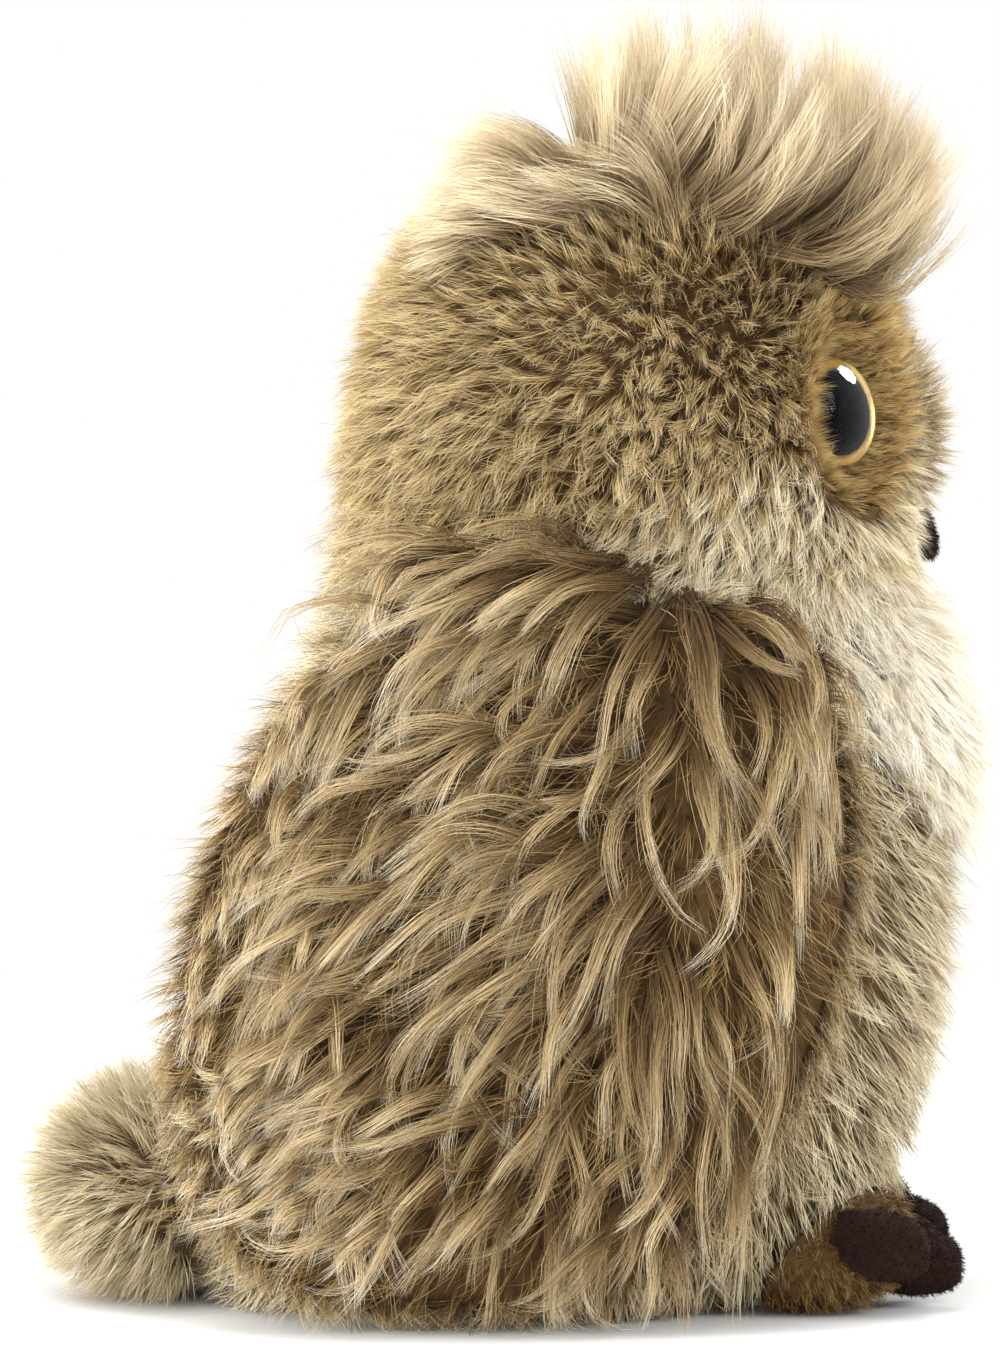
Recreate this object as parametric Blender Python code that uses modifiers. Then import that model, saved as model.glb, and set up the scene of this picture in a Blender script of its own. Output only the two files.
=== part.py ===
# Plush owl: a stuffed toy with pile wings, ear tufts, a ball tail, snap-lock eyes and a weighted base.
# Lengths are metres. The owl faces -Y, its own right side is -X, and it stands on Z = 0.

import math

import bmesh
import bpy
from mathutils import Matrix, Vector

MM = 0.001

# Driving dimensions of the body and the head, over the mean surface of the pile.
BODY_HEIGHT = 147 * MM
BODY_WIDTH = 134 * MM
BODY_DEPTH = 151 * MM
HEAD_HEIGHT = 79 * MM
HEAD_WIDTH = 128 * MM
HEAD_DEPTH = 114 * MM
WALL = 9 * MM  # backing cloth and the pile that is pressed on it
CLEARANCE = 0.3 * MM  # gap left between two pieces that touch
MERGE_DISTANCE = 0.02 * MM
OVERRUN = 6 * MM  # how far a cutter passes what it cuts

# Each row: height, front reach, back reach and half width, as shares of the sizes above.
BODY_STATION_SHARES = (
    (-0.075, 0.215, 0.330, 0.300),
    (0.000, 0.335, 0.384, 0.385),
    (0.050, 0.440, 0.394, 0.440),
    (0.150, 0.525, 0.396, 0.478),
    (0.310, 0.580, 0.368, 0.500),
    (0.530, 0.608, 0.335, 0.504),
    (0.750, 0.602, 0.288, 0.474),
    (0.920, 0.572, 0.222, 0.420),
)
HEAD_STATION_SHARES = (
    (0.060, 0.742, 0.265, 0.428),
    (0.220, 0.744, 0.258, 0.487),
    (0.440, 0.730, 0.242, 0.510),
    (0.660, 0.690, 0.205, 0.492),
    (0.840, 0.620, 0.138, 0.425),
    (0.960, 0.450, 0.010, 0.290),
    (1.012, 0.330, -0.110, 0.140),
)
RING_SIDES = 12
RING_POWER = 2.3  # squareness of a ring
OVAL = 2  # the squareness of an ellipse

# Base
BASE_THICKNESS = 2.4 * MM
BAG_HEIGHT = 20 * MM
BAG_SIZE_SHARE = 0.80  # of the room inside the shell
BAG_SEGMENTS = 16
BAG_RINGS = 8

# Eyes and face discs, turned about the axis of each eye. Distances out of the head are positive.
EYE_SPACING = 54 * MM
EYE_RISE = 30 * MM  # from the neck seam to the middle of the eye
EYE_SINK = 14 * MM  # how far the face disc lies behind the pile
EYE_TURN = math.radians(36)
EYE_TILT = math.radians(8)
EYE_RADIUS = 10.5 * MM
PUPIL_RADIUS = 7.2 * MM
DISC_RADIUS = 20 * MM
DISC_THICKNESS = 4 * MM
DISC_DISH = 4.5 * MM  # rise of the disc's rim over its floor
SOCKET_FLARE_SHARE = 0.55  # widening of the socket in the head for each unit out of the head
BACK_THICKNESS = 1.2 * MM
PUPIL_RISE = 1.3 * MM
PUPIL_FLAT_SHARE = 0.8
IRIS_THICKNESS = 0.6 * MM
LENS_RIM = 1.2 * MM
LENS_DOME = 4.8 * MM
LENS_ARCS = 6
SHANK_RADIUS = 2.2 * MM
SHANK_TIP = 1.0 * MM  # plain end of the shank past its last rib
RIB_COUNT = 3
RIB_DEPTH = 0.35 * MM
RIB_PITCH = 1.5 * MM
WASHER_RADIUS = 7.5 * MM
WASHER_THICKNESS = 1.2 * MM
WASHER_TEETH = 6
TOOTH_SLOT_WIDTH = 0.8 * MM
TOOTH_SLOT_REACH = 5.0 * MM
EYE_STEPS = 18

# Brow bridge and beak
BRIDGE_HEIGHT = 38 * MM
BRIDGE_WIDTH = 20 * MM
BRIDGE_PROUD = 5.5 * MM
BRIDGE_RISE = 25 * MM  # from the neck seam to its middle
BRIDGE_SEGMENTS = 16
BRIDGE_RINGS = 12
BEAK_LENGTH = 15 * MM
BEAK_WIDTH = 13 * MM
BEAK_PROUD = 4.8 * MM
BEAK_DROOP = 4 * MM
BEAK_RISE = 12 * MM  # from the neck seam to its root
BEAK_SIDES = 6
# Per ring, from the head out: its distance out, half width, half height and droop as shares.
BEAK_STATION_SHARES = (
    (-0.90, 0.30, 0.30, 0.00),
    (-0.20, 0.50, 0.50, 0.00),
    (0.45, 0.40, 0.42, 0.35),
    (1.00, 0.16, 0.20, 1.00),
)

# Chest bib: height, thickness and half width as shares of its own sizes.
BIB_HEIGHT = 57 * MM
BIB_WRAP_SHARE = 0.716  # width of the bib as a share of the body's
BIB_PROUD = 6 * MM
BIB_EMBED = 12 * MM
BIB_STATION_SHARES = (
    (-0.03, -0.60, 0.24),
    (0.03, 0.60, 0.32),
    (0.22, 1.15, 0.42),
    (0.50, 1.00, 0.50),
    (0.80, 0.80, 0.50),
    (1.10, 0.55, 0.42),
)
BIB_SIDES = 18

# Ear tufts
TUFT_SPACING = 64 * MM
TUFT_WIDTH = 24 * MM
TUFT_ROOT_LENGTH = 68 * MM
TUFT_ROOT_DEPTH = 12 * MM  # how far the root goes into the head before it is cut to it
TUFT_FRONT_SHARE = 0.585  # place of the front end of the root, as a share of the head's depth
TUFT_LOCK_LENGTH = 41 * MM
TUFT_ROWS = 2
TUFT_COLUMNS = 6
TUFT_END_SHARE = 0.4  # narrowing of the root at its two ends
TUFT_LEAN_BACK = math.radians(-62)
TUFT_LEAN_FRONT = math.radians(50)
TUFT_SPLAY = math.radians(12)  # the outer row leans outwards by this much, and the inner row inwards
TUFT_BOW_SHARE = 0.35  # how much of the lean is already there at the root
TUFT_INNER_SHARE = 0.9  # length of the inner locks as a share of the outer ones
# Length of each lock along the root, front to back, as a share of the longest.
TUFT_LENGTH_SHARES = (0.74, 0.92, 1.00, 0.95, 0.98, 0.78)
# Width of a lock at each step along it, as a share of the step before.
TUFT_WIDTH_SHARES = (1.06, 0.80, 0.14)

# Wings: height, middle, half length and half thickness as shares of the wing's own sizes.
WING_LENGTH = 124 * MM
WING_THICKNESS = 34 * MM
WING_OUTER_PROUD = 11 * MM  # how far the wing stands out past the body's widest place
WING_STATION_SHARES = (
    (0.000, 0.055, 0.150, 0.13),
    (0.045, 0.050, 0.335, 0.28),
    (0.150, 0.035, 0.445, 0.40),
    (0.320, 0.000, 0.520, 0.48),
    (0.520, -0.045, 0.545, 0.51),
    (0.720, -0.090, 0.505, 0.48),
    (0.890, -0.125, 0.400, 0.38),
    (1.000, -0.140, 0.220, 0.18),
)
WING_MIDDLE_REACH = 9 * MM  # middle of the wing ahead of the frame's origin
WING_TOP_DROP = 2 * MM  # from the neck seam to the top of the wing
WING_FLOOR_GAP = 2 * MM
WING_SIDES = 12
WING_POWER = 2.2
LINING_THICKNESS = 2 * MM
LINING_INSET = 1.5 * MM

# Tail
TAIL_LENGTH = 56 * MM
TAIL_WIDTH = 72 * MM
TAIL_HEIGHT = 47 * MM
TAIL_EMBED = 21 * MM  # depth of the ball inside the body before it is cut to it
TAIL_SINK = 1.5 * MM
TAIL_SEGMENTS = 20
TAIL_RINGS = 12

# Feet and toes
FOOT_SPACING = 54 * MM
FOOT_WIDTH = 39 * MM
FOOT_HEIGHT = 30 * MM
FOOT_LENGTH = 38 * MM
FOOT_PROUD = 16.5 * MM  # how far the foot's front passes the belly above it
FOOT_SINK = 1.5 * MM
# Share of the length from the front, then width, height and lift of the ring as shares.
FOOT_STATION_SHARES = (
    (0.00, 0.45, 0.40, 0.05),
    (0.14, 0.88, 0.82, 0.03),
    (0.50, 1.06, 1.10, 0.00),
    (0.86, 0.92, 0.90, 0.00),
    (1.00, 0.50, 0.50, 0.00),
)
FOOT_SIDES = 8
TOE_SPACING = 14.4 * MM
TOE_GAP = 0.5 * MM
TOE_LENGTH = 24 * MM
TOE_HEIGHT = 17.5 * MM
TOE_SIDES = 6
TOE_STATION_SHARES = (
    (0.00, 0.46),
    (0.14, 0.84),
    (0.46, 1.06),
    (0.82, 1.00),
    (1.00, 0.70),
)
# Per toe: how far its tip passes the foot, and the height of its middle, as shares.
TOE_PLACE_SHARES = {"inner": (0.34, 0.60), "middle": (0.42, 0.68), "outer": (0.14, 0.92)}
TOE_ORDER = (-1, 0, 1)  # from the middle of the owl outwards
TOE_DROOP_SHARE = 0.16
FLOOR = 0.0  # height of the surface that the owl stands on

SIDES = {"right": -1, "left": 1}

COLOURS = {
    "pile_olive": ((0.36, 0.29, 0.17), 0.95, 0.0),
    "pile_long": ((0.55, 0.42, 0.26), 0.9, 0.0),
    "pile_cream": ((0.78, 0.70, 0.60), 0.95, 0.0),
    "pile_golden": ((0.30, 0.18, 0.07), 0.95, 0.0),
    "pile_brow": ((0.26, 0.19, 0.11), 0.95, 0.0),
    "suede_brown": ((0.035, 0.016, 0.012), 0.9, 0.0),
    "lining_cloth": ((0.42, 0.34, 0.22), 0.9, 0.0),
    "fibre_white": ((0.85, 0.85, 0.82), 1.0, 0.0),
    "bag_cloth": ((0.80, 0.79, 0.75), 0.95, 0.0),
    "lens_clear": ((0.9, 0.9, 0.9), 0.05, 0.0),
    "iris_gold": ((0.80, 0.52, 0.14), 0.25, 1.0),
    "backing_black": ((0.01, 0.01, 0.01), 0.2, 0.0),
    "washer_plastic": ((0.75, 0.75, 0.73), 0.4, 0.0),
}


def clear_scene():
    for thing in list(bpy.data.objects):
        bpy.data.objects.remove(thing, do_unlink=True)


def make_collection(name):
    group = bpy.data.collections.new(name)
    bpy.context.scene.collection.children.link(group)
    return group


def make_material(name):
    colour, roughness, metallic = COLOURS[name]
    found = bpy.data.materials.get(name)
    if found:
        return found
    material = bpy.data.materials.new(name)
    material.use_nodes = True
    shader = material.node_tree.nodes["Principled BSDF"]
    shader.inputs["Base Color"].default_value = (*colour, 1)
    shader.inputs["Roughness"].default_value = roughness
    shader.inputs["Metallic"].default_value = metallic
    return material


def add_object(name, bm, group, colour=None):
    """Makes a smooth shaded object of a bmesh. Each sub-part has a material of its own."""
    mesh = bpy.data.meshes.new(name)
    bm.to_mesh(mesh)
    bm.free()
    mesh.shade_smooth()
    thing = bpy.data.objects.new(name, mesh)
    group.objects.link(thing)
    if colour:
        material = make_material(colour).copy()
        material.name = name
        mesh.materials.append(material)
    return thing


def as_cutter(thing):
    thing.hide_render = True
    thing.display_type = "WIRE"
    return thing


def subdivide(thing, levels=1):
    step = thing.modifiers.new("smooth", "SUBSURF")
    step.levels = levels
    step.render_levels = levels


def grow(thing, distance):
    """Moves the whole surface out along its normals, or in when the distance is negative."""
    step = thing.modifiers.new("grow", "DISPLACE")
    step.mid_level = 0
    step.strength = distance


def boolean(thing, operation, cutter):
    step = thing.modifiers.new("cut", "BOOLEAN")
    step.operation = operation
    step.solver = "EXACT"
    step.object = cutter


def loft(rings, close_first=True, close_last=True):
    """A skin through rings of points, all wound alike, with its ends closed by one face."""
    bm = bmesh.new()
    rows = [[bm.verts.new(point) for point in ring] for ring in rings]
    count = len(rows[0])
    for low, high in zip(rows, rows[1:]):
        for k in range(count):
            after = (k + 1) % count
            bm.faces.new((low[k], low[after], high[after], high[k]))
    if close_first:
        bm.faces.new(list(reversed(rows[0])))
    if close_last:
        bm.faces.new(rows[-1])
    if close_first and close_last:
        bmesh.ops.recalc_face_normals(bm, faces=bm.faces)
    return bm


def rounded(angle, power):
    """The two factors of a superellipse at an angle."""
    across, along = math.cos(angle), math.sin(angle)
    bend = 2 / power
    return (
        math.copysign(abs(across) ** bend, across),
        math.copysign(abs(along) ** bend, along),
    )


def cage_gain(sides):
    """How much wider a ring of a cage is than the smoothed ring that it gives."""
    return 4 / (3 + math.cos(math.tau / sides))


def flat_ring(centre, half_x, half_y, sides, power):
    """A level ring, wound anticlockwise from above."""
    gain = cage_gain(sides)
    ring = []
    for k in range(sides):
        across, along = rounded(math.tau * k / sides, power)
        offset = Vector((across * half_x * gain, along * half_y * gain, 0))
        ring.append(centre + offset)
    return ring


def upright_ring(centre, half_x, half_z, sides, power):
    """A ring that faces forward, wound anticlockwise as seen from the front."""
    gain = cage_gain(sides)
    ring = []
    for k in range(sides):
        across, along = rounded(math.tau * k / sides, power)
        ring.append(centre + Vector((across * half_x * gain, 0, along * half_z * gain)))
    return ring


def owl_rings():
    """The rings of the whole stuffed form, from below the floor to the crown."""
    rings = []
    for rows, start, height, depth, width in (
        (BODY_STATION_SHARES, 0, BODY_HEIGHT, BODY_DEPTH, BODY_WIDTH),
        (HEAD_STATION_SHARES, BODY_HEIGHT, HEAD_HEIGHT, HEAD_DEPTH, HEAD_WIDTH),
    ):
        for up, front, back, half in rows:
            middle = (back - front) / 2 * depth
            reach = (back + front) / 2 * depth
            centre = Vector((0, middle, start + up * height))
            rings.append(flat_ring(centre, half * width, reach, RING_SIDES, RING_POWER))
    return rings


def owl_solid(name, distance, group):
    """The stuffed form as a closed cutter, grown or shrunk by a distance."""
    thing = add_object(name, loft(owl_rings()), group)
    subdivide(thing)
    grow(thing, distance)
    return as_cutter(thing)


def slab(name, low, high, group):
    """A block that keeps only what lies between two heights."""
    bm = bmesh.new()
    bmesh.ops.create_cube(bm, size=1)
    span = 2 * (BODY_DEPTH + BODY_WIDTH)
    bmesh.ops.scale(bm, vec=(span, span, high - low), verts=bm.verts)
    thing = add_object(name, bm, group)
    thing.location = (0, 0, (low + high) / 2)
    return as_cutter(thing)


def turned(name, profile, group, colour=None, closed=False):
    """A profile of radius and height, run down its outer side, turned about the local Z axis."""
    bm = bmesh.new()
    points = [bm.verts.new((radius, 0, height)) for radius, height in profile]
    for first, second in zip(points, points[1:]):
        bm.edges.new((first, second))
    if closed:
        bm.edges.new((points[-1], points[0]))
    thing = add_object(name, bm, group, colour)
    step = thing.modifiers.new("turn", "SCREW")
    step.steps = EYE_STEPS
    step.render_steps = EYE_STEPS
    step.use_merge_vertices = True
    step.merge_threshold = MERGE_DISTANCE
    return thing


def hit(form, start, direction):
    """Where a ray from outside meets the stuffed form."""
    graph = bpy.context.evaluated_depsgraph_get()
    solid = form.evaluated_get(graph)
    found, point, _normal, _face = solid.ray_cast(start, direction)
    if not found:
        raise ValueError("a seat lies outside the stuffed form")
    return point


def front_of(form, x, z):
    return hit(form, Vector((x, -BODY_DEPTH - HEAD_DEPTH, z)), Vector((0, 1, 0)))


def back_of(form, x, z):
    return hit(form, Vector((x, BODY_DEPTH + HEAD_DEPTH, z)), Vector((0, -1, 0)))


def top_of(form, x, y):
    return hit(form, Vector((x, y, 2 * (BODY_HEIGHT + HEAD_HEIGHT))), Vector((0, 0, -1)))


def make_shells(parts, slabs):
    """The body and head skins: one open surface, thickened inwards and split at the neck."""
    shells = {}
    for name in ("body_shell", "head_shell"):
        skin = loft(owl_rings(), close_first=False)
        shell = add_object(name, skin, parts, "pile_olive")
        subdivide(shell)
        thicken = shell.modifiers.new("wall", "SOLIDIFY")
        thicken.thickness = WALL
        thicken.offset = -1
        boolean(shell, "INTERSECT", slabs[name])
        shells[name] = shell
    return shells


def make_filling(parts, cutters, slabs, inner, eye_rooms):
    """The base panel, the pellet bag that lies on it, and the fibre over the bag and in the head."""
    panel = add_object("base_panel", loft(owl_rings()), parts, "lining_cloth")
    subdivide(panel)
    grow(panel, -WALL - CLEARANCE)
    boolean(panel, "INTERSECT", slabs["base_panel"])

    floor_of_bag = BASE_THICKNESS + CLEARANCE
    middle_height = floor_of_bag + BAG_HEIGHT / 2
    front = front_of(inner, 0, middle_height)
    back = back_of(inner, 0, middle_height)
    side = hit(inner, Vector((BODY_WIDTH, (front.y + back.y) / 2, middle_height)), Vector((-1, 0, 0)))
    bag_sizes = (
        2 * side.x * BAG_SIZE_SHARE,
        (back.y - front.y) * BAG_SIZE_SHARE,
        BAG_HEIGHT,
    )
    place = Vector((0, (front.y + back.y) / 2, middle_height))
    bag = ball("pellet_bag", place, bag_sizes, BAG_SEGMENTS, BAG_RINGS, parts, "bag_cloth")
    room = ball("bag_room", place, bag_sizes, BAG_SEGMENTS, BAG_RINGS, cutters)
    grow(room, CLEARANCE)
    as_cutter(room)

    for name in ("body_stuffing", "head_stuffing"):
        fibre = add_object(name, loft(owl_rings()), parts, "fibre_white")
        subdivide(fibre)
        grow(fibre, -WALL - CLEARANCE)
        boolean(fibre, "INTERSECT", slabs[name])
    boolean(bpy.data.objects["body_stuffing"], "DIFFERENCE", room)
    for eye_room in eye_rooms:
        boolean(bpy.data.objects["head_stuffing"], "DIFFERENCE", eye_room)
    return bag


def ball(name, centre, sizes, segments, rings, group, colour=None):
    """A sphere of unit size, stretched to three sizes and moved to its centre."""
    bm = bmesh.new()
    bmesh.ops.create_uvsphere(bm, u_segments=segments, v_segments=rings, radius=0.5)
    bmesh.ops.scale(bm, vec=sizes, verts=bm.verts)
    thing = add_object(name, bm, group, colour)
    thing.location = centre
    return thing


def disc_profile():
    """The face disc: a dish with a shank hole, closed, outer side first from its rim down."""
    hole = SHANK_RADIUS + CLEARANCE
    floor_radius = EYE_RADIUS + CLEARANCE
    return (
        (DISC_RADIUS - DISC_THICKNESS / 3, DISC_DISH),
        (DISC_RADIUS, DISC_DISH - DISC_THICKNESS / 3),
        (DISC_RADIUS, DISC_DISH - DISC_THICKNESS),
        ((DISC_RADIUS + floor_radius) / 2, DISC_DISH / 3 - DISC_THICKNESS),
        (floor_radius, -DISC_THICKNESS),
        (hole, -DISC_THICKNESS),
        (hole, 0),
        (floor_radius, 0),
        ((DISC_RADIUS + floor_radius) / 2, DISC_DISH / 3),
    )


def socket_profile():
    """The opening in the head skin for a face disc, wider towards the outside."""
    radius = DISC_RADIUS + CLEARANCE
    outside = EYE_SINK + DISC_RADIUS + OVERRUN
    inside = WALL + DISC_THICKNESS + OVERRUN
    wide = radius + outside * SOCKET_FLARE_SHARE
    return ((0, outside), (wide, outside), (radius, 0), (radius, -inside), (0, -inside))


def first_rib():
    """The ribs start just behind the washer."""
    return -DISC_THICKNESS - CLEARANCE - WASHER_THICKNESS


def shank_end():
    return first_rib() - RIB_COUNT * RIB_PITCH - SHANK_TIP


def room_profile():
    """The hollow in the stuffing for the disc, the washer behind it and the shank."""
    radius = DISC_RADIUS + CLEARANCE
    outside = EYE_SINK + DISC_RADIUS + OVERRUN
    washer_back = -DISC_THICKNESS - WASHER_THICKNESS - 2 * CLEARANCE
    floor_radius = EYE_RADIUS + CLEARANCE
    shank_room = SHANK_RADIUS + CLEARANCE
    shank_back = shank_end() - CLEARANCE
    return (
        (0, outside),
        (radius, outside),
        (radius, DISC_DISH - DISC_THICKNESS - CLEARANCE),
        ((DISC_RADIUS + floor_radius) / 2, DISC_DISH / 3 - DISC_THICKNESS - 2 * CLEARANCE),
        (floor_radius, -DISC_THICKNESS - 2 * CLEARANCE),
        (WASHER_RADIUS + CLEARANCE, washer_back),
        (shank_room, washer_back),
        (shank_room, shank_back),
        (0, shank_back),
    )


def back_profile():
    """The black backing: pupil boss, flange for the gold ring and ribbed shank."""
    flange_floor = CLEARANCE
    flange_top = flange_floor + BACK_THICKNESS
    boss_top = flange_top + PUPIL_RISE
    points = [
        (0, boss_top),
        (PUPIL_RADIUS * PUPIL_FLAT_SHARE, boss_top - RIB_DEPTH / 2),
        (PUPIL_RADIUS, boss_top - RIB_DEPTH),
        (PUPIL_RADIUS, flange_top),
        (EYE_RADIUS, flange_top),
        (EYE_RADIUS, flange_floor),
        (SHANK_RADIUS - RIB_DEPTH, flange_floor),
    ]
    for rib in range(RIB_COUNT):
        top = first_rib() - rib * RIB_PITCH
        points.append((SHANK_RADIUS - RIB_DEPTH, top))
        points.append((SHANK_RADIUS, top - RIB_PITCH / 4))
        points.append((SHANK_RADIUS - RIB_DEPTH, top - RIB_PITCH))
    points.append((SHANK_RADIUS / 2, shank_end()))
    points.append((0, shank_end()))
    return points


def iris_profile():
    low = CLEARANCE + BACK_THICKNESS + CLEARANCE
    inside = PUPIL_RADIUS + CLEARANCE
    return (
        (EYE_RADIUS - CLEARANCE, low + IRIS_THICKNESS / 2),
        (EYE_RADIUS - CLEARANCE, low),
        (inside, low),
        (inside, low + IRIS_THICKNESS),
    )


def lens_profile():
    """The clear dome, hollowed for the pupil boss and seated over the gold ring."""
    seat = 3 * CLEARANCE + BACK_THICKNESS + IRIS_THICKNESS
    boss_room = CLEARANCE + BACK_THICKNESS + PUPIL_RISE + CLEARANCE
    points = [(0, seat + LENS_RIM + LENS_DOME)]
    for k in range(1, LENS_ARCS + 1):
        angle = math.pi / 2 * k / LENS_ARCS
        points.append((EYE_RADIUS * math.sin(angle), seat + LENS_RIM + LENS_DOME * math.cos(angle)))
    points.append((EYE_RADIUS, seat))
    points.append((PUPIL_RADIUS + CLEARANCE, seat))
    points.append((PUPIL_RADIUS + CLEARANCE, max(boss_room, seat)))
    points.append((0, max(boss_room, seat) + RIB_DEPTH))
    return points


def make_washer(name, parts, cutters):
    """A snap washer: a ring whose inner edge is slotted into teeth that grip the shank."""
    top = -DISC_THICKNESS - CLEARANCE
    bore = SHANK_RADIUS + CLEARANCE
    profile = (
        (WASHER_RADIUS, top),
        (WASHER_RADIUS, top - WASHER_THICKNESS),
        (bore, top - WASHER_THICKNESS),
        (bore, top),
    )
    washer = turned(name, profile, parts, "washer_plastic", closed=True)
    bm = bmesh.new()
    inner_end = SHANK_RADIUS / 2 + TOOTH_SLOT_WIDTH
    for tooth in range(WASHER_TEETH):
        made = bmesh.ops.create_cube(bm, size=1)["verts"]
        length = TOOTH_SLOT_REACH - inner_end
        height = WASHER_THICKNESS + 2 * OVERRUN
        bmesh.ops.scale(bm, vec=(length, TOOTH_SLOT_WIDTH, height), verts=made)
        bmesh.ops.translate(bm, vec=(inner_end + length / 2, 0, top), verts=made)
        turn = math.tau * tooth / WASHER_TEETH
        bmesh.ops.rotate(
            bm,
            cent=(0, 0, 0),
            matrix=Matrix.Rotation(turn, 3, "Z"),
            verts=made,
        )
    slots = as_cutter(add_object(f"{name}_slots", bm, cutters))
    boolean(washer, "DIFFERENCE", slots)
    return washer, slots


def make_eye(side, sign, form, parts, cutters, head_shell):
    """A snap-lock eye in its face disc, all turned about one axis and carried by one empty."""
    pile = front_of(form, sign * EYE_SPACING / 2, BODY_HEIGHT + EYE_RISE)
    centre = pile + Vector((0, EYE_SINK, 0))
    outward = Vector(
        (
            sign * math.sin(EYE_TURN) * math.cos(EYE_TILT),
            -math.cos(EYE_TURN) * math.cos(EYE_TILT),
            math.sin(EYE_TILT),
        )
    )
    seat = bpy.data.objects.new(f"eye_axis_{side}", None)
    seat.empty_display_size = EYE_RADIUS
    seat.location = centre
    seat.rotation_mode = "QUATERNION"
    seat.rotation_quaternion = outward.to_track_quat("Z", "Y")
    parts.objects.link(seat)

    disc = turned(f"face_disc_{side}", disc_profile(), parts, "pile_golden", closed=True)
    back = turned(f"eye_back_{side}", back_profile(), parts, "backing_black")
    iris = turned(f"eye_iris_{side}", iris_profile(), parts, "iris_gold", closed=True)
    lens = turned(f"eye_lens_{side}", lens_profile(), parts, "lens_clear")
    washer, slots = make_washer(f"eye_washer_{side}", parts, cutters)
    socket = as_cutter(turned(f"socket_{side}", socket_profile(), cutters))
    room = as_cutter(turned(f"eye_room_{side}", room_profile(), cutters))
    for thing in (disc, back, iris, lens, washer, slots, socket, room):
        thing.parent = seat
    boolean(head_shell, "DIFFERENCE", socket)
    return room


def make_brow_bridge(form, touching, parts, cutters):
    """The ridge of brow fur between the face discs, and the hollow that it needs in the beak."""
    front = front_of(form, 0, BODY_HEIGHT + BRIDGE_RISE)
    sizes = (BRIDGE_WIDTH, 4 * BRIDGE_PROUD, BRIDGE_HEIGHT)
    centre = front + Vector((0, BRIDGE_PROUD, 0))
    shape = (centre, sizes, BRIDGE_SEGMENTS, BRIDGE_RINGS)
    bridge = ball("brow_bridge", *shape, parts, "pile_brow")
    boolean(bridge, "DIFFERENCE", touching)
    room = ball("bridge_room", *shape, cutters)
    grow(room, CLEARANCE)
    return as_cutter(room)


def make_beak(form, touching, bridge_room, slabs, parts):
    """A short hooked beak of suede plush, sewn under the brow bridge."""
    root = front_of(form, 0, BODY_HEIGHT + BEAK_RISE)
    rings = []
    for out, wide, tall, fall in BEAK_STATION_SHARES:
        middle = root + Vector((0, -out * BEAK_PROUD, -fall * BEAK_DROOP - BEAK_LENGTH / 3))
        rings.append(upright_ring(middle, wide * BEAK_WIDTH, tall * BEAK_LENGTH, BEAK_SIDES, OVAL))
    beak = add_object("beak", loft(rings), parts, "suede_brown")
    subdivide(beak)
    boolean(beak, "INTERSECT", slabs["above_neck"])
    boolean(beak, "DIFFERENCE", touching)
    boolean(beak, "DIFFERENCE", bridge_room)
    return beak


def make_bib(form, touching, slabs, parts):
    """The cream chest panel: a pad that thickens down to a step at its lower edge."""
    low = BODY_HEIGHT - BIB_HEIGHT
    rings = []
    for up, thick, half in BIB_STATION_SHARES:
        height = low + up * BIB_HEIGHT
        front = front_of(form, 0, height).y - thick * BIB_PROUD
        back = front_of(form, 0, height).y + BIB_EMBED
        centre = Vector((0, (front + back) / 2, height))
        half_width = half * BIB_WRAP_SHARE * BODY_WIDTH
        ring = flat_ring(centre, half_width, (back - front) / 2, BIB_SIDES, RING_POWER)
        # The ends of the ring bend back with the chest.
        bent = []
        for point in ring:
            chest = front_of(form, point.x, height).y - front_of(form, 0, height).y
            bent.append(point + Vector((0, chest, 0)))
        rings.append(bent)
    bib = add_object("chest_bib", loft(rings), parts, "pile_cream")
    subdivide(bib)
    boolean(bib, "DIFFERENCE", touching)
    boolean(bib, "DIFFERENCE", slabs["above_neck"])
    return bib


def tuft_sheet(bm, sign, form):
    """Two rows of cells on the crown, one cell to a lock. Returns each cell with its row and place."""
    bmesh.ops.create_grid(bm, x_segments=TUFT_ROWS, y_segments=TUFT_COLUMNS, size=1)
    cells = []
    for face in bm.faces:
        middle = face.calc_center_median()
        outward = sign * middle.x
        cells.append((face, outward, (middle.y + 1) / 2))
    front = -TUFT_FRONT_SHARE * HEAD_DEPTH
    for vert in bm.verts:
        narrowing = 1 - TUFT_END_SHARE * vert.co.y**2
        x = sign * TUFT_SPACING / 2 + vert.co.x * narrowing * TUFT_WIDTH / 2
        y = front + TUFT_ROOT_LENGTH * (vert.co.y + 1) / 2
        vert.co = top_of(form, x, y)
    return cells


def close_below(bm, depth):
    """Gives an open sheet straight sides and a floor."""
    rim = [edge for edge in bm.edges if edge.is_boundary]
    made = bmesh.ops.extrude_edge_only(bm, edges=rim)["geom"]
    low = [item for item in made if isinstance(item, bmesh.types.BMVert)]
    bmesh.ops.translate(bm, vec=(0, 0, -depth), verts=low)
    rim = [edge for edge in bm.edges if edge.is_boundary]
    bmesh.ops.holes_fill(bm, edges=rim)


def grow_lock(bm, face, lean, splay, length):
    """Draws a cell out into a lock that leans more and more and ends in a point."""
    for step, width in enumerate(TUFT_WIDTH_SHARES):
        face = bmesh.ops.extrude_discrete_faces(bm, faces=[face])["faces"][0]
        share = (step + 1) / len(TUFT_WIDTH_SHARES)
        angle = lean * (TUFT_BOW_SHARE + (1 - TUFT_BOW_SHARE) * share)
        way = Vector((math.sin(splay), -math.sin(angle), math.cos(angle))).normalized()
        middle = face.calc_center_median()
        for vert in face.verts:
            vert.co = middle + (vert.co - middle) * width + way * length / len(TUFT_WIDTH_SHARES)


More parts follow.
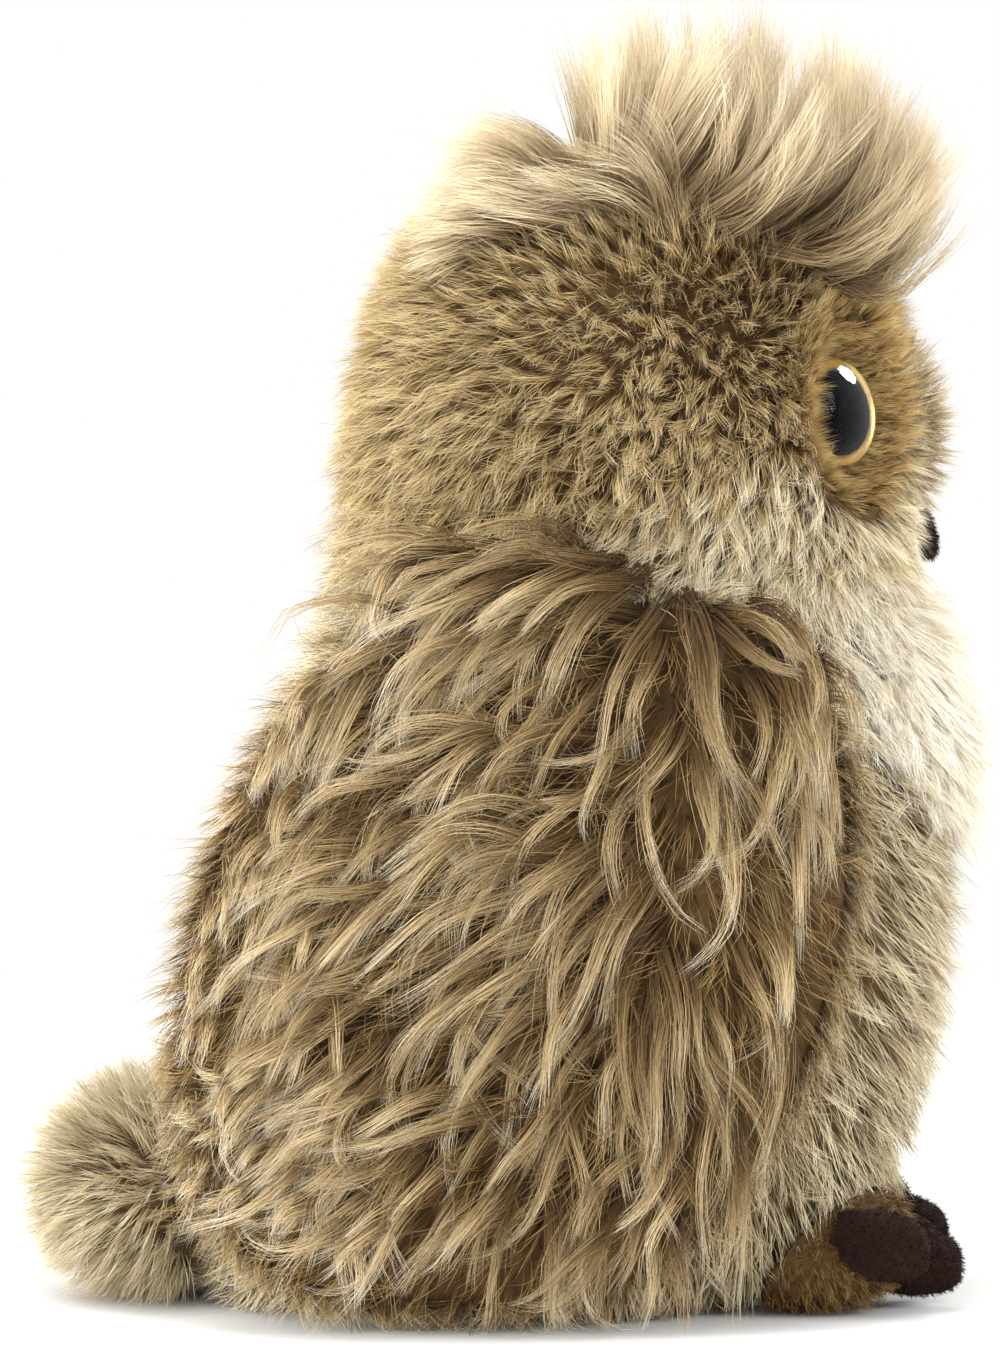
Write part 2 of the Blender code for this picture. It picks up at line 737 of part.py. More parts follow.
def make_ear_tuft(side, sign, form, touching, parts):
    """A crest of curved tapered locks, drawn out of one strip of the crown."""
    bm = bmesh.new()
    cells = tuft_sheet(bm, sign, form)
    close_below(bm, TUFT_ROOT_DEPTH)
    for face, outward, back in cells:
        lean = TUFT_LEAN_FRONT + (TUFT_LEAN_BACK - TUFT_LEAN_FRONT) * back
        column = min(int(back * TUFT_COLUMNS), TUFT_COLUMNS - 1)
        length = TUFT_LOCK_LENGTH * TUFT_LENGTH_SHARES[column % len(TUFT_LENGTH_SHARES)]
        if outward < 0:
            length *= TUFT_INNER_SHARE
        grow_lock(bm, face, lean, sign * math.copysign(TUFT_SPLAY, outward), length)
    bmesh.ops.recalc_face_normals(bm, faces=bm.faces)
    tuft = add_object(f"ear_tuft_{side}", bm, parts, "pile_long")
    subdivide(tuft)
    boolean(tuft, "DIFFERENCE", touching)
    return tuft


def wing_rings(sign, form):
    """The rings of a wing, about its hinge, from the shoulder down."""
    top = BODY_HEIGHT - WING_TOP_DROP
    drop = top - WING_FLOOR_GAP
    outer = BODY_WIDTH / 2 + WING_OUTER_PROUD
    rings = []
    for down, middle, half_length, half_thick in WING_STATION_SHARES:
        height = top - down * drop
        half = half_thick * WING_THICKNESS
        x = sign * (outer - WING_THICKNESS / 2)
        y = -WING_MIDDLE_REACH - middle * WING_LENGTH
        centre = Vector((x, y, height)) - wing_hinge(sign, form)
        rings.append(flat_ring(centre, half, half_length * WING_LENGTH, WING_SIDES, WING_POWER))
    return list(reversed(rings))


def wing_hinge(sign, form):
    """A point on the shoulder seam that a wing swings about, at the neck line."""
    start = Vector((sign * BODY_WIDTH, -WING_MIDDLE_REACH, BODY_HEIGHT))
    return hit(form, start, Vector((-sign, 0, 0)))


def make_wing(side, sign, form, touching, lining_face, wing_face, parts):
    """A wing panel that hugs the body, and the lining between it and the body."""
    hinge = bpy.data.objects.new(f"wing_hinge_{side}", None)
    hinge.empty_display_size = WING_THICKNESS
    hinge.location = wing_hinge(sign, form)
    parts.objects.link(hinge)
    panel = add_object(f"wing_{side}", loft(wing_rings(sign, form)), parts, "pile_long")
    subdivide(panel)
    boolean(panel, "DIFFERENCE", wing_face)
    lining = add_object(f"wing_lining_{side}", loft(wing_rings(sign, form)), parts, "lining_cloth")
    subdivide(lining)
    grow(lining, -LINING_INSET)
    boolean(lining, "INTERSECT", lining_face)
    boolean(lining, "DIFFERENCE", touching)
    for thing in (panel, lining):
        thing.parent = hinge
    return hinge


def make_tail(form, touching, slabs, parts):
    """The ball tail, cut to the back of the body and flat where it rests."""
    middle_height = TAIL_HEIGHT / 2 - TAIL_SINK
    back = back_of(form, 0, middle_height)
    centre = Vector((0, back.y + TAIL_LENGTH / 2 - TAIL_EMBED, middle_height))
    sizes = (TAIL_WIDTH, TAIL_LENGTH, TAIL_HEIGHT)
    tail = ball("tail", centre, sizes, TAIL_SEGMENTS, TAIL_RINGS, parts, "pile_olive")
    boolean(tail, "DIFFERENCE", touching)
    boolean(tail, "INTERSECT", slabs["above_floor"])
    return tail


def foot_front(sign, form):
    belly = front_of(form, sign * FOOT_SPACING / 2, FOOT_HEIGHT / 2)
    return belly.y - FOOT_PROUD


def foot_rings(sign, form):
    rings = []
    for along, wide, tall, lift in FOOT_STATION_SHARES:
        middle = Vector(
            (
                sign * FOOT_SPACING / 2,
                foot_front(sign, form) + along * FOOT_LENGTH,
                FOOT_HEIGHT / 2 - FOOT_SINK + lift * FOOT_HEIGHT,
            )
        )
        half_x = wide * FOOT_WIDTH / 2
        half_z = tall * FOOT_HEIGHT / 2
        rings.append(upright_ring(middle, half_x, half_z, FOOT_SIDES, RING_POWER))
    return rings


def make_foot(side, sign, form, touching, slabs, parts, cutters):
    foot = add_object(f"foot_{side}", loft(foot_rings(sign, form)), parts, "pile_golden")
    room = add_object(f"foot_room_{side}", loft(foot_rings(sign, form)), cutters)
    subdivide(foot)
    subdivide(room)
    grow(room, CLEARANCE)
    as_cutter(room)
    boolean(foot, "DIFFERENCE", touching)
    boolean(foot, "INTERSECT", slabs["above_floor"])
    for order, name in zip(TOE_ORDER, TOE_PLACE_SHARES):
        x = sign * (FOOT_SPACING / 2 + order * TOE_SPACING)
        start = Vector((x, foot_front(sign, form), 0))
        make_toe(f"toe_{side}_{name}", start, TOE_PLACE_SHARES[name], touching, room, slabs, parts)


def make_toe(label, start, place, touching, room, slabs, parts):
    """A stuffed toe that tapers to a blunt tip and droops to the floor."""
    past, up = place
    tip = start.y - past * TOE_LENGTH
    width = TOE_SPACING - TOE_GAP
    rings = []
    for along, size in TOE_STATION_SHARES:
        fall = (1 - along) * TOE_DROOP_SHARE * TOE_HEIGHT
        middle = Vector((start.x, tip + along * TOE_LENGTH, up * TOE_HEIGHT - fall))
        half = size / max(share for _along, share in TOE_STATION_SHARES)
        half_height = half * TOE_HEIGHT / 2
        rings.append(upright_ring(middle, half * width / 2, half_height, TOE_SIDES, OVAL))
    toe = add_object(label, loft(rings), parts, "suede_brown")
    subdivide(toe)
    boolean(toe, "DIFFERENCE", touching)
    boolean(toe, "DIFFERENCE", room)
    boolean(toe, "INTERSECT", slabs["above_floor"])
    return toe


def make_slabs(cutters):
    crown = BODY_HEIGHT + HEAD_HEIGHT + OVERRUN + WALL
    seam = CLEARANCE / 2
    spans = {
        "body_shell": (FLOOR, BODY_HEIGHT - seam),
        "head_shell": (BODY_HEIGHT + seam, crown),
        "body_stuffing": (BASE_THICKNESS + CLEARANCE, BODY_HEIGHT - seam),
        "head_stuffing": (BODY_HEIGHT + seam, crown),
        "base_panel": (FLOOR, BASE_THICKNESS),
        "above_neck": (BODY_HEIGHT + seam, crown),
        "above_floor": (FLOOR, crown),
    }
    return {name: slab(f"keep_{name}", *span, cutters) for name, span in spans.items()}


def main():
    clear_scene()
    parts = make_collection("plush_owl")
    cutters = make_collection("cutters")
    slabs = make_slabs(cutters)
    form = owl_solid("form", 0, cutters)
    inner = owl_solid("form_inner", -WALL - CLEARANCE, cutters)
    touching = owl_solid("form_touching", CLEARANCE, cutters)
    lining_face = owl_solid("form_lining", CLEARANCE + LINING_THICKNESS, cutters)
    wing_face = owl_solid("form_wing", 2 * CLEARANCE + LINING_THICKNESS, cutters)
    bpy.context.view_layer.update()

    shells = make_shells(parts, slabs)
    rooms = [
        make_eye(side, sign, form, parts, cutters, shells["head_shell"])
        for side, sign in SIDES.items()
    ]
    make_filling(parts, cutters, slabs, inner, rooms)
    bridge_room = make_brow_bridge(form, touching, parts, cutters)
    make_beak(form, touching, bridge_room, slabs, parts)
    make_bib(form, touching, slabs, parts)
    make_tail(form, touching, slabs, parts)
    for side, sign in SIDES.items():
        make_ear_tuft(side, sign, form, touching, parts)
        make_wing(side, sign, form, touching, lining_face, wing_face, parts)
        make_foot(side, sign, form, touching, slabs, parts, cutters)


main()
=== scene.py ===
import math

import bmesh
import bpy
import numpy as np
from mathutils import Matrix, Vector
from mathutils.bvhtree import BVHTree
from mathutils.kdtree import KDTree


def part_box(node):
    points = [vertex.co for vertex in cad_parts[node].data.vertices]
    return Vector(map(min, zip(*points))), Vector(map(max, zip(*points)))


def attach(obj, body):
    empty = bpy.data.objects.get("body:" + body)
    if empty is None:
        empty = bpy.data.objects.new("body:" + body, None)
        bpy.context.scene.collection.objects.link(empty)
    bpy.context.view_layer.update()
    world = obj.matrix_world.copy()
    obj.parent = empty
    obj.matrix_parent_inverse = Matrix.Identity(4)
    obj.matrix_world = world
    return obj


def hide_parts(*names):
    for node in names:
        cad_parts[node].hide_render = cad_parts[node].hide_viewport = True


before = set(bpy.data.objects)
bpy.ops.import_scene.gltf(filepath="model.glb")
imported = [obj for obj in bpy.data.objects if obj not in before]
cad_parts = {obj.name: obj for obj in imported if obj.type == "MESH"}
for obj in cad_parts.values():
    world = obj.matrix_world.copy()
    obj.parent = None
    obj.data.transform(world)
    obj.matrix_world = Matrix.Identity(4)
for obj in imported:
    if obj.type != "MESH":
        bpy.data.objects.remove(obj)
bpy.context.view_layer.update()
mm = 0.001
sides = {"right": -1, "left": 1}
thinning = 1.0
print("frame loaded,", len(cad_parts), "nodes")


# Shader sums.
class Wire:  # a socket that can be added to and multiplied
    def __init__(self, tree, socket=None):
        self.tree = tree
        self.socket = socket

    def node(self, kind, settings=None, inputs=None, output=0):  # any node, its settings first
        made = self.tree.nodes.new(kind)
        for key, value in (settings or {}).items():
            if key == "stops":
                ramp = made.color_ramp
                ramp.interpolation = "EASE"
                while len(ramp.elements) < len(value):
                    ramp.elements.new(0.5)
                for element, (place, colour) in zip(ramp.elements, value):
                    element.position = place
                    element.color = (*colour, 1)
            else:
                setattr(made, key, value)
        for key, value in (inputs or {}).items():
            if isinstance(value, Wire):
                self.tree.links.new(value.socket, made.inputs[key])
            else:
                made.inputs[key].default_value = value
        return Wire(self.tree, made.outputs[output] if made.outputs else None)

    def sum(self, operation, first, second):
        return self.node("ShaderNodeMath", {"operation": operation}, {0: first, 1: second})

    def __add__(self, other):
        return self.sum("ADD", self, other)

    def __mul__(self, other):
        return self.sum("MULTIPLY", self, other)

    __radd__ = __add__
    __rmul__ = __mul__

    def blend(self, first, second):  # two colours, with this wire as the factor
        return self.node("ShaderNodeMix", {"data_type": "RGBA"}, {0: self, 6: first, 7: second}, 2)


def startMaterial(name):
    made = bpy.data.materials.new(name)
    made.use_nodes = True
    made.node_tree.nodes.clear()
    return made, Wire(made.node_tree)


def endMaterial(wire, shader):
    wire.node("ShaderNodeOutputMaterial", {}, {"Surface": shader})


def colour(value):
    return (*value, 1.0)


# The dark roots are partly the fur's own colour and partly painted shade for the depths of the pile. A
# strand leans to the shaded ramp by its tone, which is partly random and partly painted light and shade
# where a look's shade sets it.
def pileMaterial(name, look):  # colour runs from root to tip, and from shaded strands to pale ones
    made, wire = startMaterial(name)
    place = wire.node("ShaderNodeUVMap", {"uv_map": "OFBake"})
    tone = wire.node("ShaderNodeSeparateXYZ", {}, {0: place})
    reach = Wire(wire.tree, tone.socket.node.outputs[1])
    dark = wire.node("ShaderNodeValToRGB", {"stops": look["shaded"]}, {0: reach})
    pale = wire.node("ShaderNodeValToRGB", {"stops": look["pale"]}, {0: reach})
    base = tone.blend(dark, pale)
    shader = wire.node("ShaderNodeBsdfPrincipled", {}, {
        "Base Color": base,
        "Roughness": look.get("roughness", 0.7),
        "Specular IOR Level": look.get("specular", 0.18),
        "Sheen Weight": look.get("sheen", 0.06),
        "Sheen Roughness": 0.5,
        "Sheen Tint": colour((1.0, 0.88, 0.66)),
    })
    endMaterial(wire, shader)
    return made


# The backing's dark colours stand partly for painted shade in the gaps between clumps.
def skinMaterial(name, look):  # the knitted backing that the pile is tufted into
    made, wire = startMaterial(name)
    place = wire.node("ShaderNodeTexCoord", {}, {}, 3)
    patch = wire.node("ShaderNodeTexNoise", {}, {"Vector": place, "Scale": 180.0, "Detail": 3.0})
    fine = wire.node("ShaderNodeTexNoise", {}, {"Vector": place, "Scale": 1400.0, "Detail": 2.0})
    base = patch.blend(colour(look["deep"]), colour(look["light"]))
    bump = wire.node("ShaderNodeBump", {}, {"Height": fine + patch * 0.6, "Strength": 0.6,
                                            "Distance": 0.0006})
    shader = wire.node("ShaderNodeBsdfPrincipled", {}, {
        "Base Color": base, "Roughness": 0.95, "Normal": bump, "Specular IOR Level": 0.1,
    })
    endMaterial(wire, shader)
    return made


# Meshes.
def addObject(name, data, *materials):
    made = bpy.data.objects.new(name, data)
    bpy.context.scene.collection.objects.link(made)
    for one in materials:
        data.materials.append(one)
    return made


def fromBmesh(name, bm, *materials):
    data = bpy.data.meshes.new(name)
    bm.to_mesh(data)
    bm.free()
    data.polygons.foreach_set("use_smooth", np.ones(len(data.polygons), bool))
    return addObject(name, data, *materials)


def inOrder(bm):  # points and faces in the order of their places, because merging shuffles them each run
    points = sorted(bm.verts, key=lambda v: tuple(v.co))
    number = {v: k for k, v in enumerate(points)}
    loops = [[number[v] for v in face.verts] for face in bm.faces]
    starts = [loop.index(min(loop)) for loop in loops]
    made = bmesh.new()
    verts = [made.verts.new(v.co) for v in points]
    for loop in sorted(loop[start:] + loop[:start] for loop, start in zip(loops, starts)):
        made.faces.new([verts[k] for k in loop])
    bm.free()
    return made


def belong(thing, body="root", node=None):  # what a piece rides on and stands for
    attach(thing, body)
    if node:
        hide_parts(node)


def settle(thing):  # writes the modifiers into the mesh
    bpy.context.view_layer.update()
    graph = bpy.context.evaluated_depsgraph_get()
    data = bpy.data.meshes.new_from_object(thing.evaluated_get(graph), depsgraph=graph)
    old = thing.data
    thing.modifiers.clear()
    thing.data = data
    data.name = thing.name
    bpy.data.meshes.remove(old)
    return thing


def modifier(thing, kind, **settings):
    made = thing.modifiers.new(kind.lower(), kind)
    for key, value in settings.items():
        setattr(made, key, value)
    return made


def vertexData(data):  # places and normals
    place, facing = (np.empty(len(data.vertices) * 3, np.float32) for _ in range(2))
    data.vertices.foreach_get("co", place)
    data.vertices.foreach_get("normal", facing)
    return place.reshape(-1, 3), facing.reshape(-1, 3)


def shrink(data, distance):  # moves a closed skin inwards along its normals
    place, facing = vertexData(data)
    data.vertices.foreach_set("co", (place - facing * distance).ravel())
    data.update()


def treeOf(data):
    data.calc_loop_triangles()
    points = [v.co.copy() for v in data.vertices]
    return BVHTree.FromPolygons(points, [tuple(t.vertices) for t in data.loop_triangles])


def unit(vectors):
    return vectors / np.maximum(np.linalg.norm(vectors, axis=-1, keepdims=True), 1e-9)


def along(vectors, normals):  # the part of a direction that lies in the surface
    return unit(vectors - (vectors * normals).sum(-1, keepdims=True) * normals)


class Mottle:  # smooth random patches, from a few waves
    def __init__(self, seed, size):
        rng = np.random.default_rng(seed)
        self.waves = unit(rng.normal(size=(9, 3))) * (math.tau / size) * rng.uniform(0.6, 1.7, (9, 1))
        self.starts = rng.uniform(0, math.tau, 9)

    def at(self, points):
        return np.sin(points @ self.waves.T + self.starts).sum(-1) / 4.2


# Strands.
def ribbon(steps):  # one flat strand that ends in a point
    bm = bmesh.new()
    bmesh.ops.create_grid(bm, x_segments=1, y_segments=steps, size=1)
    tips = [v for v in bm.verts if v.co.y > 0.999]
    bmesh.ops.pointmerge(bm, verts=tips, merge_co=(0, 1, 0))
    bmesh.ops.triangulate(bm, faces=bm.faces)
    bm.verts.index_update()
    across = np.array([v.co.x for v in bm.verts])
    level = np.array([round((v.co.y + 1) / 2 * steps) for v in bm.verts])
    corners = np.array([[v.index for v in f.verts] for f in bm.faces])
    bm.free()
    return across, level, corners


def strands(name, paths, normals, widths, tones, rolls, material, taper=0.62):
    count, levels, _ = paths.shape
    across, level, corners = ribbon(levels - 1)
    run = unit(np.gradient(paths, axis=1))
    side = unit(np.cross(run, normals[:, None, :]))
    lift = np.cross(side, run)
    turn = rolls[:, None, None]
    side = side * np.cos(turn) + lift * np.sin(turn)
    reach = level / (levels - 1)
    wide = widths[:, None] * (1 - reach) ** taper / 2
    points = paths[:, level] + side[:, level] * (across * wide)[:, :, None]
    points[..., 2] = np.maximum(points[..., 2], 0.0003)  # nothing goes through the floor
    total = count * len(level)
    faces = (corners[None] + (np.arange(count) * len(level))[:, None, None]).reshape(-1, 3)
    data = bpy.data.meshes.new(name)
    data.vertices.add(total)
    data.vertices.foreach_set("co", points.astype(np.float32).ravel())
    data.loops.add(faces.size)
    data.loops.foreach_set("vertex_index", faces.astype(np.int32).ravel())
    data.polygons.add(len(faces))
    data.polygons.foreach_set("loop_start", np.arange(0, faces.size, 3, dtype=np.int32))
    data.update(calc_edges=True)
    place = np.empty((count, len(level), 2), np.float32)
    place[..., 0] = np.clip(tones, 0.02, 0.98)[:, None]
    place[..., 1] = (0.01 + 0.98 * reach)[None]
    sheet = data.uv_layers.new(name="OFBake")
    sheet.data.foreach_set("uv", place.reshape(-1, 2)[faces.ravel()].ravel())
    data.polygons.foreach_set("use_smooth", np.ones(len(faces), bool))
    data.validate()
    print("  ", name, count, "strands,", len(faces), "triangles")
    return addObject(name, data, material)


def scatter(data, count, rng, keep=None):  # random roots on a skin
    data.calc_loop_triangles()
    place, facing = (values.astype(float) for values in vertexData(data))
    corner = np.empty(len(data.loop_triangles) * 3, np.int32)
    data.loop_triangles.foreach_get("vertices", corner)
    corner = corner.reshape(-1, 3)
    a, b, c = place[corner[:, 0]], place[corner[:, 1]], place[corner[:, 2]]
    area = np.linalg.norm(np.cross(b - a, c - a), axis=1)
    if keep is not None:
        area = area * keep((a + b + c) / 3, unit(np.cross(b - a, c - a)))
    pick = rng.choice(len(corner), count, p=area / area.sum())
    first, second = np.sqrt(rng.random(count)), rng.random(count)
    share = np.stack([1 - first, first * (1 - second), first * second], 1)[:, :, None]
    chosen = corner[pick]
    return (place[chosen] * share).sum(1), unit((facing[chosen] * share).sum(1)), area.sum() / 2


def nearestOf(points, centres):
    tree = KDTree(len(centres))
    for k, centre in enumerate(centres):
        tree.insert(centre, k)
    tree.balance()
    return np.array([tree.find(point)[1] for point in points])


def pile(name, skin, look, comb, material, seed, keep=None):
    # Strands in clumps: the tips of a clump lean together and leave dark gaps beside it.
    rng = np.random.default_rng(seed)
    count = max(200, int(look["count"] * thinning))
    roots, normals, area = scatter(skin.data, count, rng, keep)
    heads = min(max(40, int(area / look["clump"] ** 2)), count // 3)
    centre = nearestOf(roots, roots[:heads])
    steps = look.get("steps", 3)
    flow, lean, length = comb(roots[:heads], normals[:heads])
    flow = along(flow, normals[:heads])
    cross = np.cross(normals[:heads], flow)
    yaw = rng.normal(0, look["stray"], heads)[:, None]
    flow = flow * np.cos(yaw) + cross * np.sin(yaw)
    cross = np.cross(normals[:heads], flow)
    lean = lean + rng.normal(0, look.get("leanStray", 0.12), heads)[:, None]
    reach = (np.arange(steps) + 0.5) / steps
    tilt = lean[:, :1] + (lean[:, 1:] - lean[:, :1]) * reach
    sway = rng.normal(0, 0.25, heads)[:, None] * reach * 2
    step = (normals[:heads, None] * np.cos(tilt)[..., None]
            + flow[:, None] * (np.sin(tilt) * np.cos(sway))[..., None]
            + cross[:, None] * (np.sin(tilt) * np.sin(sway))[..., None])
    step *= (length * rng.uniform(0.8, 1.12, heads))[:, None, None] / steps
    clump = np.concatenate([np.zeros((heads, 1, 3)), step.cumsum(1)], 1)
    grow = rng.uniform(*look.get("ragged", (0.72, 1.05)), count)[:, None, None]
    level = np.linspace(0, 1, steps + 1)[None, :, None]
    gather = (roots[:heads][centre] - roots)[:, None]
    pull = rng.uniform(*look.get("pull", (0.55, 0.85)), heads)[centre][:, None, None]
    frizz = rng.normal(0, look["frizz"], (count, 1, 3)) * length[centre][:, None, None]
    paths = roots[:, None] + clump[centre] * grow + gather * pull * level**1.2 + frizz * level**1.5
    patch = Mottle(seed + 1, look.get("patch", 26 * mm)).at(roots)
    tones = (look["tone"] + patch * look["patchy"]
             + rng.normal(0, look.get("clumpTone", 0.14), heads)[centre] + rng.normal(0, 0.12, count))
    if "shade" in look:
        tones = tones + look["shade"](roots, normals)
    widths = look["width"] * rng.uniform(0.7, 1.2, count)
    rolls = rng.uniform(-0.9, 0.9, count)
    return strands(name, paths, normals, widths, tones, rolls, material)


# The stuffed form.
owlForm = {
    # height, reach to the front, reach to the back and half width of each ring, in mm
    "rings": [
        (-11.0, 32.5, 49.8, 40.2), (0.0, 50.6, 58.0, 51.6), (7.4, 66.4, 59.5, 59.0),
        (22.1, 79.3, 59.8, 64.1), (45.6, 87.6, 55.6, 67.0), (77.9, 91.8, 50.6, 67.5),
        (110.3, 90.9, 43.5, 63.5), (135.2, 86.4, 33.5, 56.3), (151.7, 84.6, 30.2, 54.8),
        (164.4, 84.8, 29.4, 62.3), (181.8, 83.2, 27.6, 65.3), (199.1, 78.7, 23.4, 63.0),
        (213.4, 70.7, 15.7, 54.4), (222.8, 51.3, 1.1, 37.1), (226.9, 37.6, -12.5, 17.9),
    ],
    "around": 12, "squareness": 2.3, "neck": 147 * mm, "inset": 3.8 * mm,
}
eyes = {"turn": math.radians(36), "tilt": math.radians(8), "socket": 20.1 * mm, "face": 25.5 * mm,
        "radius": 10.5 * mm}


def formRing(bm, row):
    height, front, back, half = (value * mm for value in row)
    ring = bmesh.ops.create_circle(bm, segments=owlForm["around"], radius=1)["verts"]
    gain = 4 / (3 + math.cos(math.tau / owlForm["around"]))
    bend = 2 / owlForm["squareness"]
    for k, vert in enumerate(ring):
        angle = math.tau * k / len(ring)
        x, y = math.cos(angle), math.sin(angle)
        x, y = math.copysign(abs(x) ** bend, x), math.copysign(abs(y) ** bend, y)
        vert.co = (x * half * gain, (back - front) / 2 + y * (back + front) / 2 * gain, height)
    return ring


def owlSkin():  # the whole form, smoothed; shrink draws it in later to where the pile is rooted
    bm = bmesh.new()
    rings = [formRing(bm, row) for row in owlForm["rings"]]
    for low, high in zip(rings, rings[1:]):
        edges = [e for e in bm.edges if (e.verts[0] in low and e.verts[1] in low)
                 or (e.verts[0] in high and e.verts[1] in high)]
        bmesh.ops.bridge_loops(bm, edges=edges)
    bmesh.ops.holes_fill(bm, edges=[e for e in bm.edges if e.is_boundary])
    bmesh.ops.recalc_face_normals(bm, faces=bm.faces)
    thing = fromBmesh("owlForm", bm)
    modifier(thing, "SUBSURF", levels=3, render_levels=3)
    return settle(thing)


def eyeAxis(side, sign):
    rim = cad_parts[f"eye_iris_{side}"].data.vertices
    centre = sum((v.co for v in rim), Vector()) / len(rim)
    outward = Vector((sign * math.sin(eyes["turn"]) * math.cos(eyes["tilt"]),
                      -math.cos(eyes["turn"]) * math.cos(eyes["tilt"]), math.sin(eyes["tilt"])))
    return centre, outward


axes = {side: eyeAxis(side, sign) for side, sign in sides.items()}


def fromAxis(points, side):  # distance of points from an eye's axis, and the way out from it
    centre, outward = (np.array(v) for v in axes[side])
    offset = points - centre
    radial = offset - (offset @ outward)[:, None] * outward
    return np.linalg.norm(radial, axis=1), unit(radial), offset @ outward


def part(form, name, low, high, material):  # the piece of a skin between two heights, closed
    bm = bmesh.new()
    bm.from_mesh(form.data)
    for height, way in ((low, -1), (high, 1)):
        geometry = bm.verts[:] + bm.edges[:] + bm.faces[:]
        bmesh.ops.bisect_plane(bm, geom=geometry, dist=1e-6, plane_co=(0, 0, height),
                               plane_no=(0, 0, way), clear_outer=True)
        bmesh.ops.holes_fill(bm, edges=[e for e in bm.edges if e.is_boundary])
    bmesh.ops.recalc_face_normals(bm, faces=bm.faces)
    return fromBmesh(name, bm, material)


def cutSockets(head):
    cutters = []
    for side in sides:
        centre, outward = axes[side]
        bm = bmesh.new()
        bmesh.ops.create_cone(bm, cap_ends=True, segments=48, radius1=eyes["socket"],
                              radius2=eyes["socket"], depth=60 * mm)
        bmesh.ops.translate(bm, vec=(0, 0, 23 * mm), verts=bm.verts)
        turn = outward.to_track_quat("Z", "Y").to_matrix()
        bmesh.ops.rotate(bm, cent=(0, 0, 0), matrix=turn, verts=bm.verts)
        bmesh.ops.translate(bm, vec=centre, verts=bm.verts)
        cutter = fromBmesh("socketCutter", bm)
        cutter.hide_render = True
        modifier(head, "BOOLEAN", operation="DIFFERENCE", object=cutter, solver="EXACT")
        cutters.append(cutter)
    settle(head)
    for cutter in cutters:
        bpy.data.objects.remove(cutter)


def loose(node, name, voxel, inset, material, rounds=3):  # a smooth inset skin of a CAD solid
    bm = bmesh.new()
    bm.from_mesh(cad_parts[node].data)
    bmesh.ops.remove_doubles(bm, verts=bm.verts, dist=1e-6)
    thing = fromBmesh(name, bm)
    modifier(thing, "REMESH", mode="VOXEL", voxel_size=voxel)
    modifier(thing, "SMOOTH", factor=0.5, iterations=rounds)
    settle(thing)
    if inset:
        shrink(thing.data, inset)
    for vert in thing.data.vertices:
        vert.co.z = max(vert.co.z, 0.3 * mm)
    thing.data.materials.append(material)
    thing.data.polygons.foreach_set("use_smooth", np.ones(len(thing.data.polygons), bool))
    return thing


# The looks of the piles.
olive = {
    "shaded": [(0.0, (0.060, 0.031, 0.011)), (0.35, (0.145, 0.083, 0.028)),
               (0.7, (0.320, 0.214, 0.084)), (1.0, (0.520, 0.410, 0.215))],
    "pale": [(0.0, (0.095, 0.052, 0.018)), (0.35, (0.290, 0.186, 0.072)),
             (0.7, (0.690, 0.530, 0.255)), (1.0, (0.965, 0.880, 0.640))],
}
cream = {
    "shaded": [(0.0, (0.30, 0.22, 0.12)), (0.4, (0.62, 0.51, 0.34)), (1.0, (0.88, 0.80, 0.63))],
    "pale": [(0.0, (0.70, 0.62, 0.47)), (0.4, (0.95, 0.90, 0.78)), (1.0, (0.98, 0.96, 0.90))],
}
golden = {
    "shaded": [(0.0, (0.058, 0.029, 0.008)), (0.4, (0.231, 0.130, 0.036)), (1.0, (0.546, 0.370, 0.140))],
    "pale": [(0.0, (0.116, 0.064, 0.019)), (0.4, (0.504, 0.325, 0.111)), (1.0, (0.945, 0.760, 0.391))],
}
brow = {
    "shaded": [(0.0, (0.060, 0.034, 0.013)), (0.45, (0.230, 0.148, 0.064)), (1.0, (0.620, 0.500, 0.310))],
    "pale": [(0.0, (0.160, 0.100, 0.043)), (0.45, (0.560, 0.420, 0.220)), (1.0, (0.970, 0.920, 0.780))],
}
blond = {
    "shaded": [(0.0, (0.026, 0.013, 0.004)), (0.3, (0.078, 0.042, 0.014)),
               (0.65, (0.250, 0.165, 0.070)), (1.0, (0.580, 0.475, 0.290))],
    "pale": [(0.0, (0.046, 0.024, 0.007)), (0.3, (0.150, 0.087, 0.030)),
             (0.65, (0.560, 0.420, 0.220)), (1.0, (0.980, 0.930, 0.780))],
}
fawn = {
    "shaded": [(0.0, (0.090, 0.058, 0.025)), (0.4, (0.340, 0.255, 0.133)), (1.0, (0.700, 0.590, 0.380))],
    "pale": [(0.0, (0.190, 0.138, 0.072)), (0.4, (0.740, 0.632, 0.410)), (1.0, (0.970, 0.905, 0.710))],
}
crestLook = {
    "shaded": [(0.0, (0.070, 0.040, 0.016)), (0.3, (0.170, 0.110, 0.051)),
               (0.65, (0.370, 0.275, 0.150)), (1.0, (0.600, 0.490, 0.320))],
    "pale": [(0.0, (0.160, 0.100, 0.044)), (0.3, (0.370, 0.265, 0.138)),
             (0.65, (0.730, 0.600, 0.390)), (1.0, (0.930, 0.850, 0.660))],
}
# Dark partly as painted shade between the wing's locks.
under = {
    "shaded": [(0.0, (0.021, 0.011, 0.003)), (0.5, (0.089, 0.050, 0.014)), (1.0, (0.231, 0.145, 0.050))],
    "pale": [(0.0, (0.047, 0.026, 0.008)), (0.5, (0.252, 0.155, 0.052)), (1.0, (0.567, 0.410, 0.181))],
}
suede = {
    "shaded": [(0.0, (0.009, 0.003, 0.003)), (0.6, (0.018, 0.006, 0.006)), (1.0, (0.032, 0.012, 0.011))],
    "pale": [(0.0, (0.012, 0.005, 0.004)), (0.6, (0.030, 0.011, 0.010)), (1.0, (0.085, 0.038, 0.034))],
    "sheen": 0.0, "specular": 0.03, "roughness": 0.9,
}
